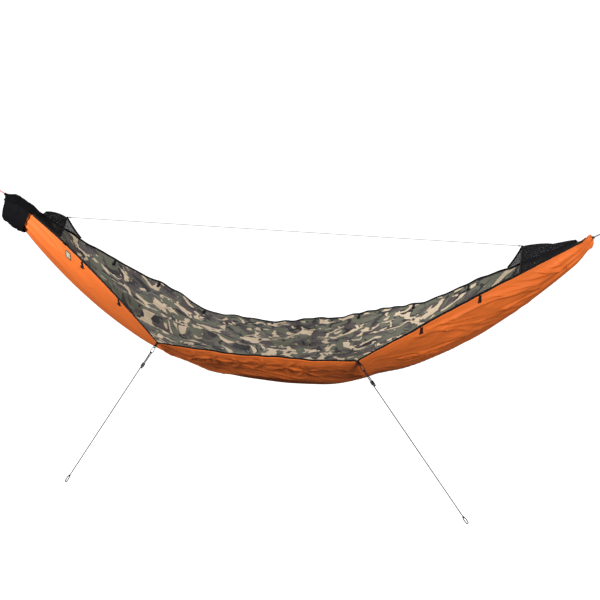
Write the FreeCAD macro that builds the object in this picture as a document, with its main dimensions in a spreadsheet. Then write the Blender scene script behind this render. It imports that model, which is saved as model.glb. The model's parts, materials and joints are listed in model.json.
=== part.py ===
import FreeCAD, Part
import math
import os

from FreeCAD import Placement, Rotation, Vector

# Camping hammock, millimetres. +X runs from the head end to the foot end, +Y to the far side, +Z up.
# The origin is where the tree strap bears inside the head carabiner.
DOC = FreeCAD.newDocument("CampingHammock")

SIZES = [
    # alias, value, what it is
    ("gather_span", 2700, "distance between the two gathers"),
    ("hang_angle", 30, "rise of the suspension cords in degrees"),
    ("suspension_run", 150, "suspension cord from gather to carabiner"),
    ("suspension_cord", 5.0, "diameter of a suspension cord"),
    ("whipping_length", 18, "whipping over a spliced cord eye"),
    ("anchor_inner", 13, "carabiner: inner radius of its ends"),
    ("anchor_straight", 36, "carabiner: straight side"),
    ("anchor_rod", 4.0, "carabiner: rod radius"),
    ("anchor_nose", 4, "carabiner: nose stub"),
    ("anchor_hinge", 6, "carabiner: hinge stub"),
    ("hook_inner", 5.5, "snap hook: inner radius of its ends"),
    ("hook_straight", 15, "snap hook: straight side"),
    ("hook_rod", 1.6, "snap hook: rod radius"),
    ("hook_nose", 1.5, "snap hook: nose stub"),
    ("hook_hinge", 2.5, "snap hook: hinge stub"),
    ("tie_spacing", 866, "distance between the two near tie-outs"),
    ("near_reach", 580, "how far the guys pull the near edge out"),
    ("near_drop", 457, "near tie-outs below the gathers"),
    ("far_reach", 450, "how far the far edge stands out"),
    ("far_drop", 667, "far edge's lowest point below the gathers"),
    ("bed_sag", 750, "lowest point of the bed below the gathers"),
    ("gather_half", 18, "half of the cloth's width in a gather"),
    ("gather_length", 60, "length of a gathered end"),
    ("gather_bulge", 31, "radius of the bunched cloth behind its drawn hem"),
    ("gather_tip", 12, "radius of the drawn hem's tip"),
    ("shell_cloth", 2.0, "outer shell thickness"),
    ("bed_cloth", 2.0, "inner bed thickness"),
    ("layer_gap", 1.0, "gap between the two layers"),
    ("tape_width", 10, "zip tape width"),
    ("tape_thick", 6, "zip tape thickness"),
    ("seam_gap", 0.1, "gap at the seam between a cloth and its tape"),
    ("net_cloth", 1.5, "net hood thickness"),
    ("net_gap", 0.8, "net hood above the zip tape"),
    ("binding_width", 8, "binding along a hood's mouth"),
    ("binding_thick", 3, "thickness of that binding"),
    ("head_peak_out", 1081, "head hood's peak from mid span"),
    ("head_peak_drop", 71, "head hood's peak below the gathers"),
    ("foot_peak_out", 1062, "foot hood's peak from mid span"),
    ("foot_peak_drop", 57, "foot hood's peak below the gathers"),
    ("ridge_cord", 2.0, "diameter of the ridge cord"),
    ("guy_cord", 4.0, "diameter of a guy line"),
    ("guy_return", 74, "doubled stretch of a guy line"),
    ("webbing_width", 12, "tie-out webbing width"),
    ("webbing_thick", 2.0, "tie-out webbing thickness"),
    ("tie_tab_length", 18, "tie-out from the tape to the ring"),
    ("ring_half", 9, "D-ring: half of its width"),
    ("ring_rod", 1.25, "D-ring: wire radius"),
    ("tensioner_length", 18, "line tensioner length"),
    ("tensioner_width", 16, "line tensioner width"),
    ("tensioner_thick", 7, "line tensioner thickness"),
    ("peg_loop_length", 14, "straight side of the loop for a peg"),
    ("peg_loop_radius", 6, "radius of the loop for a peg"),
    ("toggle_length", 18, "net toggle length"),
    ("toggle_radius", 3.0, "net toggle radius"),
    ("label_width", 30, "blank label width"),
    ("label_height", 36, "blank label height"),
    ("slider_length", 14, "zip slider length"),
    ("slider_thick", 3.2, "zip slider thickness"),
    ("bag_cloth", 1.6, "stuff sack cloth"),
    ("drawcord", 2.4, "diameter of the stuff sack's drawcord"),
    ("lock_radius", 6.5, "cord lock radius"),
    ("lock_length", 16, "cord lock length"),
    ("button_travel", 3.0, "travel of the cord lock's button"),
    ("fit_gap", 0.3, "clearance at a seat"),
    ("pin_gap", 0.06, "running clearance round a pin"),
]
sheet = DOC.addObject("Spreadsheet::Sheet", "Sizes")
for row, (alias, value, note) in enumerate(SIZES, 1):
    sheet.set(f"A{row}", alias)
    sheet.set(f"B{row}", str(value))
    sheet.setAlias(f"B{row}", alias)
    sheet.set(f"C{row}", note)
DOC.recompute()
V = {alias: float(sheet.get(alias)) for alias, _, _ in SIZES}
UP = Vector(0, 0, 1)
SIDE = Vector(0, 1, 0)
HEAD, FOOT = -1, 1
END_NAME = {HEAD: "head", FOOT: "foot"}


# ---------------------------------------------------------------- document helpers
def bound(kind, name, sizes, placement=None):
    """Add a primitive whose sizes are bound to the sheet by expressions."""
    item = DOC.addObject(kind, name)
    for prop, expression in sizes.items():
        item.setExpression(prop, expression)
    if placement:
        item.Placement = placement
    return item


def cylinder(name, radius, height, placement=None):
    return bound("Part::Cylinder", name, {"Radius": radius, "Height": height}, placement)


def box(name, length, width, height, placement=None):
    return bound("Part::Box", name, {"Length": length, "Width": width, "Height": height}, placement)


def torus(name, major, minor, angle="360", placement=None):
    sizes = {"Radius1": major, "Radius2": minor, "Angle3": angle}
    return bound("Part::Torus", name, sizes, placement)


def sphere(name, radius, centre, rotation=Rotation()):
    return bound("Part::Sphere", name, {"Radius": radius}, Placement(centre, rotation))


def fuse(name, pieces):
    item = DOC.addObject("Part::MultiFuse", name)
    item.Shapes = pieces
    return item


def cut(name, base, tool):
    item = DOC.addObject("Part::Cut", name)
    item.Base = base
    item.Tool = tool
    return item


def compound(name, pieces):
    item = DOC.addObject("Part::Compound", name)
    item.Links = pieces
    return item


def shaped(name, shape):
    item = DOC.addObject("Part::Feature", name)
    item.Shape = shape
    return item


NODES = {}


def node(name, item, placement=None):
    """Register a finished sub-part under its node name."""
    item.Label = name
    if placement:
        item.Placement = placement
    NODES[name] = item
    return item


def frame(origin, x_axis, y_hint):
    """Placement whose local X is x_axis and whose local Y is as near y_hint as it can be."""
    x = Vector(x_axis).normalize()
    z = x.cross(y_hint).normalize()
    y = z.cross(x)
    matrix = FreeCAD.Matrix(
        x.x, y.x, z.x, origin.x, x.y, y.y, z.y, origin.y, x.z, y.z, z.z, origin.z, 0, 0, 0, 1
    )
    return Placement(matrix)


def turned(position, axis, angle):
    return Placement(position, Rotation(axis, angle))


ALONG_X = Rotation(SIDE, 90)
ALONG_Y = Rotation(Vector(1, 0, 0), -90)


# ---------------------------------------------------------------- where things hang
hang = math.radians(V["hang_angle"])
anchor_length = 2 * V["anchor_inner"] + V["anchor_straight"] + V["anchor_rod"]
cord_run = anchor_length + V["suspension_run"]
gather_x = cord_run * math.cos(hang)
gather_z = -cord_run * math.sin(hang)
half_span = V["gather_span"] / 2
mid_x = gather_x + half_span
tie_x = V["tie_spacing"] / 2


def at(x, y, z):
    """A point given from the middle of the line between the gathers."""
    return Vector(mid_x + x, y, gather_z + z)


def cord_up(end):
    """Direction of a suspension cord, from its gather to its carabiner."""
    return Vector(end * math.cos(hang), 0, math.sin(hang))


def gather_point(end):
    return at(end * half_span, 0, 0)


def anchor_point(end):
    return gather_point(end) + cord_up(end) * cord_run


# ---------------------------------------------------------------- the bed's surface
EDGE_RISE = 8  # the edges leave a gather this far above its middle
NEAR_BOW = {HEAD: 49, FOOT: 11}  # the taut near edge bows up a little between gather and tie-out
NEAR_BOW_OUT = 20
NEAR_SLACK_IN, NEAR_SLACK_DOWN = 12, 22  # and hangs a little between the tie-outs
FAR_LOW_X, FAR_SHAPE, FAR_REACH_SHAPE = -165, {HEAD: 1.74, FOOT: 1.66}, 2.2
SAG_LOW_X, SAG_SHAPE, SAG_AT_GATHER = -54, {HEAD: 2.23, FOOT: 2.29}, 50


def end_of(x):
    return HEAD if x < 0 else FOOT


def falling(x, low_x, shape):
    """1 at low_x, falling to 0 at either gather."""
    side = HEAD if x < low_x else FOOT
    share = (x - low_x) / (side * half_span - low_x)
    return 1 - abs(share) ** shape[side]


def near_edge(x):
    reach, half = V["near_reach"], V["gather_half"]
    if abs(x) >= tie_x:
        share = (half_span - abs(x)) / (half_span - tie_x)
        bow = 4 * share * (1 - share)
        y = -(half + (reach - half) * share) - NEAR_BOW_OUT * bow
        return y, EDGE_RISE - V["near_drop"] * share + NEAR_BOW[end_of(x)] * bow
    slack = 1 - (x / tie_x) ** 2
    return -(reach - NEAR_SLACK_IN * slack), EDGE_RISE - V["near_drop"] - NEAR_SLACK_DOWN * slack


def far_edge(x):
    half = V["gather_half"]
    y = half + (V["far_reach"] - half) * (1 - abs(x / half_span) ** FAR_REACH_SHAPE)
    return y, EDGE_RISE - (V["far_drop"] + EDGE_RISE) * falling(x, FAR_LOW_X, FAR_SHAPE)


def bottom(x):
    return 0, -SAG_AT_GATHER - (V["bed_sag"] - SAG_AT_GATHER) * falling(x, SAG_LOW_X, SAG_SHAPE)


def section(x):
    """Cross-section arc at x: centre y and z, radius, and its near and far angles from straight down."""
    (ay, az), (by, bz), (cy, cz) = near_edge(x), bottom(x), far_edge(x)
    d = 2 * (ay * (bz - cz) + by * (cz - az) + cy * (az - bz))
    a2, b2, c2 = ay * ay + az * az, by * by + bz * bz, cy * cy + cz * cz
    y = (a2 * (bz - cz) + b2 * (cz - az) + c2 * (az - bz)) / d
    z = (a2 * (cy - by) + b2 * (ay - cy) + c2 * (by - ay)) / d
    radius = math.hypot(ay - y, az - z)
    return y, z, radius, math.atan2(ay - y, z - az), math.atan2(cy - y, z - cz)


bed_end = half_span - V["gather_length"]
SPANS = 8  # cloth panels between a gather and a tie-out, and between the tie-outs
STATIONS = (
    [-bed_end + (bed_end - tie_x) * i / SPANS for i in range(SPANS)]
    + [-tie_x + 2 * tie_x * i / SPANS for i in range(SPANS)]
    + [tie_x + (bed_end - tie_x) * i / SPANS for i in range(SPANS + 1)]
)


def on_section(x, angle, offset):
    y, z, radius, _, _ = section(x)
    r = radius + offset
    return at(x, y + r * math.sin(angle), z - r * math.cos(angle))


def surface(x, share, along=0.0, offset=0.0):
    """A point of the faceted cloth: share 0 is the near edge and 1 the far edge, along is millimetres
    round the section from there, and offset is how far it stands outside the shell."""
    k = max(i for i in range(len(STATIONS) - 1) if STATIONS[i] <= x + 1e-6 or i == 0)
    ends = []
    for station in (STATIONS[k], STATIONS[k + 1]):
        _, _, radius, near, far = section(station)
        ends.append(on_section(station, near + (far - near) * share + along / radius, offset))
    t = (x - STATIONS[k]) / (STATIONS[k + 1] - STATIONS[k])
    return ends[0] + (ends[1] - ends[0]) * t


def surface_frame(x, share, along, offset):
    """Local X along the edge, Y round the section towards the far side, Z inward."""
    step = 4
    run = surface(x + step, share, along, offset) - surface(x - step, share, along, offset)
    turn = surface(x, share, along + step, offset) - surface(x, share, along - step, offset)
    return frame(surface(x, share, along, offset), run, turn)


def band(low, high, inner, outer):
    """A ruled strip of cloth. low and high give (share, along) of its two sides, inner and outer its
    offsets from the outside of the shell."""
    wires = []
    for x in STATIONS:
        _, _, radius, near, far = section(x)
        a = near + (far - near) * low[0] + low[1] / radius
        b = near + (far - near) * high[0] + high[1] / radius
        m = (a + b) / 2
        outside = Part.Arc(*(on_section(x, t, outer) for t in (a, m, b))).toShape()
        inside = Part.Arc(*(on_section(x, t, inner) for t in (b, m, a))).toShape()
        side_b = Part.LineSegment(on_section(x, b, outer), on_section(x, b, inner)).toShape()
        side_a = Part.LineSegment(on_section(x, a, inner), on_section(x, a, outer)).toShape()
        wires.append(Part.Wire([outside, side_b, inside, side_a]))
    return Part.makeLoft(wires, True, True)


bed_outside = -V["shell_cloth"] - V["layer_gap"]
tape_outside = (V["tape_thick"] - (V["bed_cloth"] - bed_outside)) / 2
tape_inside = tape_outside - V["tape_thick"]
outer_shell = node("outer_shell", shaped("OuterShell", band((0, 0), (1, 0), -V["shell_cloth"], 0)))
inner_bed = node(
    "inner_bed",
    shaped("InnerBed", band((0, 0), (1, 0), bed_outside - V["bed_cloth"], bed_outside)),
)
seam = V["seam_gap"]
tape_edge = seam + V["tape_width"]
near_tape = node(
    "near_zip_tape",
    shaped("NearZipTape", band((0, -tape_edge), (0, -seam), tape_inside, tape_outside)),
)
far_tape = node(
    "far_zip_tape",
    shaped("FarZipTape", band((1, seam), (1, tape_edge), tape_inside, tape_outside)),
)


# ---------------------------------------------------------------- gathered ends
BULGE_BACK = 22  # from the hem's tip to the thickest of the bunch
GATHER_LIFT = 20  # degrees: where the edges sit on the bunch


def ring_wire(centre, up, radius):
    """A circle in two arcs, split where the cloth's two edges come in."""
    lift = math.radians(GATHER_LIFT)

    def point(angle):
        return centre + SIDE * (radius * math.cos(angle)) + up * (radius * math.sin(angle))

    near, far = point(math.pi - lift), point(lift)
    low = Part.Arc(near, point(-math.pi / 2), far).toShape()
    high = Part.Arc(far, point(math.pi / 2), near).toShape()
    return Part.Wire([low, high])


def make_gather(end):
    """The cloth bunched on the cord in its end channel, and the cord's hitch drawn against it."""
    name = END_NAME[end]
    tip, out = gather_point(end), cord_up(end)
    up = Vector(-end * math.sin(hang), 0, math.cos(hang))
    x = end * bed_end
    _, _, _, near, far = section(x)
    a, m, b = (on_section(x, t, 0) for t in (near, (near + far) / 2, far))
    mouth = Part.Wire([Part.Arc(a, m, b).toShape(), Part.LineSegment(b, a).toShape()])
    bulge = ring_wire(tip - out * BULGE_BACK - up * 10, up, V["gather_bulge"])
    hem = ring_wire(tip, up, V["gather_tip"])
    bunch = Part.makeLoft([mouth, bulge, hem], True, True)
    node(f"{name}_gather", shaped(f"Gather{name}", bunch))
    half = 0.4 * V["suspension_cord"]
    around = V["suspension_cord"] / 2 + V["fit_gap"] + half
    turns = [
        torus(
            f"Hitch{name}{k}", str(around), "Sizes.suspension_cord * 0.4", "360",
            frame(tip + out * (V["fit_gap"] + half + k * 2.1 * half), up, SIDE),
        )
        for k in range(2)
    ]
    return node(f"{name}_gather_hitch", compound(f"Hitch{name}", turns))


for end in (HEAD, FOOT):
    make_gather(end)


# ---------------------------------------------------------------- carabiners and snap hooks
def clip_pivot(kind):
    """Where the gate turns, along the clip from the surface its load bears on."""
    return V[f"{kind}_inner"] + V[f"{kind}_straight"] - V[f"{kind}_hinge"] - 0.875 * V[f"{kind}_rod"]


def make_clip(name, kind, place):
    """Body, gate and gate pin of a clip. Local X runs from its far end to the end its cord goes round,
    local Y to the gate, and the origin is on the inside of the far end."""
    inner, straight, rod = (f"Sizes.{kind}_{part}" for part in ("inner", "straight", "rod"))
    r, side = V[f"{kind}_rod"], V[f"{kind}_inner"] + V[f"{kind}_rod"]
    start, run = V[f"{kind}_inner"], V[f"{kind}_straight"]
    stop = start + run
    pivot = clip_pivot(kind)
    z_axis, x_axis = UP, Vector(1, 0, 0)
    body = [
        torus(f"{name}EndA", f"{inner} + {rod}", rod, "180", turned(Vector(start, 0, 0), z_axis, 90)),
        torus(f"{name}EndB", f"{inner} + {rod}", rod, "180", turned(Vector(stop, 0, 0), z_axis, -90)),
        cylinder(f"{name}Spine", rod, straight, Placement(Vector(start, -side, 0), ALONG_X)),
        cylinder(
            f"{name}Nose", rod, f"Sizes.{kind}_nose", Placement(Vector(start, side, 0), ALONG_X)
        ),
        cylinder(
            f"{name}Stub",
            rod,
            f"Sizes.{kind}_hinge",
            Placement(Vector(stop - V[f"{kind}_hinge"], side, 0), ALONG_X),
        ),
        cylinder(
            f"{name}Eye",
            f"0.65 * {rod}",
            f"0.6 * {rod}",
            Placement(Vector(pivot, side, -0.3 * r), Rotation()),
        ),
        box(
            f"{name}Tongue",
            f"0.875 * {rod} + 0.5 * {rod}",
            f"1.3 * {rod}",
            f"0.6 * {rod}",
            Placement(Vector(pivot, side - 0.65 * r, -0.3 * r), Rotation()),
        ),
    ]
    hole = cylinder(
        f"{name}EyeHole",
        f"0.25 * {rod} + Sizes.pin_gap",
        f"2 * {rod}",
        Placement(Vector(pivot, side, -r), Rotation()),
    )
    node(name, cut(f"{name}Body", fuse(f"{name}Frame", body), hole), place)
    gate_from = start + V[f"{kind}_nose"] + 0.1 * r + 0.1
    bar = cylinder(
        f"{name}GateBar",
        f"0.8 * {rod}",
        str(pivot + 0.375 * r - gate_from),
        Placement(Vector(gate_from, side, 0), ALONG_X),
    )
    slot = box(
        f"{name}GateSlot",
        f"2 * {rod}",
        f"2 * {rod}",
        f"0.6 * {rod} + Sizes.fit_gap",
        Placement(Vector(pivot - 0.85 * r, side - r, -0.3 * r - V["fit_gap"] / 2), Rotation()),
    )
    pin_hole = cylinder(
        f"{name}GateHole", f"0.25 * {rod}", f"2 * {rod}", Placement(Vector(pivot, side, -r), Rotation())
    )
    fork = cut(f"{name}GateFork", bar, slot)
    node(f"{name}_gate", cut(f"{name}Gate", fork, pin_hole), place)
    pin = cylinder(
        f"{name}Pin", f"0.25 * {rod}", f"1.4 * {rod}", Placement(Vector(pivot, side, -0.7 * r), Rotation())
    )
    node(f"{name}_gate_pin", pin, place.multiply(pin.Placement))
    hinge_at = place.multVec(Vector(pivot, side, 0))
    hinge_axis = place.Rotation.multVec(UP)
    report_joint(f"{name}_gate_hinge", hinge_at, hinge_axis)


def report_joint(name, point, axis):
    print(
        f"joint {name} pos_m [{point.x / 1000:.7f}, {point.y / 1000:.7f}, {point.z / 1000:.7f}]"
        f" axis [{axis.x:.8f}, {axis.y:.8f}, {axis.z:.8f}]"
    )


for end in (HEAD, FOOT):
    outside = anchor_point(end)
    inward = cord_up(end) * -1
    gate_side = Vector(-end * math.sin(hang), 0, math.cos(hang))
    make_clip(f"{END_NAME[end]}_carabiner", "anchor", frame(outside, inward, gate_side))


# ---------------------------------------------------------------- cords
def tube(wire, diameter):
    """A round cord along a wire."""
    start = wire.Edges[0]
    first = start.valueAt(start.FirstParameter)
    tangent = start.tangentAt(start.FirstParameter)
    if first.distanceToPoint(wire.OrderedVertexes[0].Point) > 1e-6:
        first = start.valueAt(start.LastParameter)
        tangent = start.tangentAt(start.LastParameter) * -1
    circle = Part.Wire([Part.Circle(first, tangent, diameter / 2).toShape()])
    solid = wire.makePipeShell([circle], True, True)
    length = wire.Length
    ratio = solid.Volume / (math.pi * diameter**2 / 4 * length)
    print(f"cord length {length:.1f} volume ratio {ratio:.4f}")
    return solid


THROAT = 42  # where a suspension cord's eye closes, from the carabiner


def make_suspension(end):
    """Cord with a spliced eye: it goes round the carabiner's rod and back into its whipping."""
    name = END_NAME[end]
    rod = anchor_point(end) - cord_up(end) * anchor_length
    place = frame(rod, cord_up(end) * -1, SIDE)
    d = V["suspension_cord"]
    bend = V["anchor_rod"] + d / 2 + 2 * V["fit_gap"]
    beside = d + 2 * V["fit_gap"]
    run = V["suspension_run"]
    ease = 0.4 * V["whipping_length"]  # how far from the throat each strand has turned straight
    whip_from = THROAT + ease + 1
    whip_to = whip_from + V["whipping_length"]
    first = math.asin(bend / THROAT)
    turn = Vector(bend * math.sin(first), bend * math.cos(first), 0)
    # the leg back lies beside the standing part
    second = math.asin(bend / math.hypot(THROAT, beside)) - math.asin(beside / math.hypot(THROAT, beside))
    leg = Vector(bend * math.sin(second), -bend * math.cos(second), 0)
    start, finish = Vector(run, 0, 0), Vector(whip_to - 1, -beside, 0)

    def corner(before, point, after):
        u, w = (before - point).normalize(), (after - point).normalize()
        half = (math.pi - u.getAngle(w)) / 2
        radius = ease / math.tan(half)
        print(f"{name} suspension cord's bend radius {radius:.0f}, {math.degrees(2 * half):.1f} degrees")
        middle = point + (u + w).normalize() * (radius / math.cos(half) - radius)
        return point + u * ease, middle, point + w * ease

    a1, a2, a3 = corner(start, Vector(THROAT, 0, 0), turn)
    b1, b2, b3 = corner(leg, Vector(THROAT, -beside, 0), finish)
    edges = [
        Part.LineSegment(start, a1).toShape(),
        Part.Arc(a1, a2, a3).toShape(),
        Part.LineSegment(a3, turn).toShape(),
        Part.Arc(turn, Vector(-bend, 0, 0), leg).toShape(),
        Part.LineSegment(leg, b1).toShape(),
        Part.Arc(b1, b2, b3).toShape(),
        Part.LineSegment(b3, finish).toShape(),
    ]
    cord = tube(Part.Wire(edges), d)
    node(f"{name}_suspension_cord", shaped(f"Suspension{name}", cord), place)
    sleeve_wall = 1.2
    outer = fuse(
        f"Whipping{name}Outer",
        [
            cylinder(
                f"Whipping{name}{k}",
                f"Sizes.suspension_cord / 2 + {sleeve_wall}",
                "Sizes.whipping_length",
                Placement(Vector(whip_from, y, 0), ALONG_X),
            )
            for k, y in enumerate((0, -beside))
        ]
        + [
            box(
                f"Whipping{name}Web",
                "Sizes.whipping_length",
                str(beside),
                f"Sizes.suspension_cord + {2 * sleeve_wall}",
                Placement(Vector(whip_from, -beside, -d / 2 - sleeve_wall), Rotation()),
            )
        ],
    )
    inner = fuse(
        f"Whipping{name}Inner",
        [
            cylinder(
                f"Whipping{name}Hole{k}",
                "Sizes.suspension_cord / 2 + Sizes.pin_gap",
                "3 * Sizes.whipping_length",
                Placement(Vector(whip_from - V["whipping_length"], y, 0), ALONG_X),
            )
            for k, y in enumerate((0, -beside))
        ],
    )
    node(f"{name}_cord_whipping", cut(f"Whipping{name}", outer, inner), place)


for end in (HEAD, FOOT):
    make_suspension(end)
head_pivot = anchor_point(HEAD) - cord_up(HEAD) * anchor_length
report_joint("hammock_swing", head_pivot, Vector(1, 0, 0))


# ---------------------------------------------------------------- net hoods and the ridge cord
HOOD_START = 6  # the net starts this far from the gathered end
HOOD_MOUTH = {HEAD: (-1012, -1092), FOOT: (1062, 998)}  # near and far foot of a hood's mouth
HOOD_TOP_LIFT = 10  # the hood's top above the line between its feet, at the gathered end
HOOD_SHAPE = {HEAD: 1.15, FOOT: 1.45}  # over 1 the top sags between the gathered end and the peak
HOOD_STEPS = 6


def peak(end):
    name = END_NAME[end]
    return at(end * V[f"{name}_peak_out"], 0, -V[f"{name}_peak_drop"])


def hood_points(end, share):
    """Near foot, top and far foot of the net at a share of the way from the gather to the mouth."""
    start = end * (bed_end - HOOD_START)
    lift = tape_edge + V["net_gap"]
    middle = (tape_inside + tape_outside) / 2

    def feet(part):
        near_x, far_x = (start + (mouth - start) * part for mouth in HOOD_MOUTH[end])
        near, far = surface(near_x, 0, -lift, middle), surface(far_x, 1, lift, middle)
        return near, far, near + (far - near) * (-near.y / (far.y - near.y))

    near, far, between = feet(share)
    rise = HOOD_TOP_LIFT + (peak(end).z - feet(1)[2].z - HOOD_TOP_LIFT) * share ** HOOD_SHAPE[end]
    top_x = at(start, 0, 0).x * (1 - share) + peak(end).x * share
    return near, Vector(top_x, 0, between.z + rise), far


def v_wire(near, top, far, thick):
    """A bent strip outline in the plane of its three points, thick downwards."""
    normal = (near - top).cross(far - top).normalize()
    if normal.x < 0:
        normal = normal * -1
    left, right = (top - near).normalize(), (far - top).normalize()
    in_left, in_right = normal.cross(left), normal.cross(right)
    if in_left.z > 0:
        in_left, in_right = in_left * -1, in_right * -1
    bisector = (in_left + in_right).normalize()
    drop = thick / bisector.dot(in_left)
    corners = [
        near, top, far, far + in_right * thick, top + bisector * drop, near + in_left * thick, near,
    ]
    return Part.makePolygon(corners)


for end in (HEAD, FOOT):
    name = END_NAME[end]
    wires = [v_wire(*hood_points(end, k / HOOD_STEPS), V["net_cloth"]) for k in range(HOOD_STEPS + 1)]
    net = shaped(f"Hood{name}", Part.makeLoft(wires, True, True))
    node(f"{name}_net_hood", cut(f"HoodFar{name}", cut(f"HoodNear{name}", net, near_tape), far_tape))
    near, top, far = hood_points(end, 1)
    rim = v_wire(near, top, far, V["binding_thick"])
    across = (near - top).cross(far - top).normalize()
    if across.x * end > 0:
        across = across * -1
    strip = shaped(f"HoodBinding{name}", Part.Face(rim).extrude(across * V["binding_width"]))
    trimmed = cut(f"HoodBindingNear{name}", strip, near_tape)
    node(f"{name}_hood_binding", cut(f"HoodBindingFar{name}", trimmed, far_tape))

ridge_from, ridge_to = peak(HEAD), peak(FOOT)
ridge_line = (ridge_to - ridge_from).normalize()
KNOT = 4.0  # radius of the ridge cord's knots
RIDGE_INSET = V["binding_width"] + 12
ridge_from = ridge_from + ridge_line * RIDGE_INSET
ridge_to = ridge_to - ridge_line * RIDGE_INSET
ridge_place = frame(ridge_from, ridge_line, SIDE)
ridge_cord = node(
    "ridge_cord",
    cylinder("RidgeCord", "Sizes.ridge_cord / 2", str((ridge_to - ridge_from).Length)),
    ridge_place.multiply(Placement(Vector(), ALONG_X)),
)
knots = []
for k, centre in enumerate((ridge_from, ridge_to)):
    ball = sphere(f"RidgeKnotBall{k}", str(KNOT), centre)
    knots.append(cut(f"RidgeKnot{k}", ball, ridge_cord))
node("ridge_knots", compound("RidgeKnots", knots))
tabs = []
for k, (end, centre) in enumerate(((HEAD, ridge_from), (FOOT, ridge_to))):
    top = peak(end)
    away = (top - centre).normalize()
    place = frame(centre + away * (KNOT - 0.5), away, SIDE)
    length = (top - centre).Length - KNOT - V["binding_width"] + 0.2
    tab = box(
        f"PeakTab{k}", str(length), "Sizes.webbing_width", "Sizes.webbing_thick",
        place.multiply(Placement(Vector(0, -V["webbing_width"] / 2, -V["webbing_thick"] / 2), Rotation())),
    )
    whole = cut(f"PeakTabTrim{k}", tab, NODES[f"{END_NAME[end]}_hood_binding"])
    tabs.append(cut(f"PeakTabCut{k}", whole, knots[k]))
node("peak_tabs", compound("PeakTabs", tabs))


# ---------------------------------------------------------------- guy lines
GUY_END = {HEAD: (-713, -920, -946), FOOT: (926, -880, -945)}  # where each line meets its peg
GUY_KNOT = 5.0
TAIL_KNOT = 4.4


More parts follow.
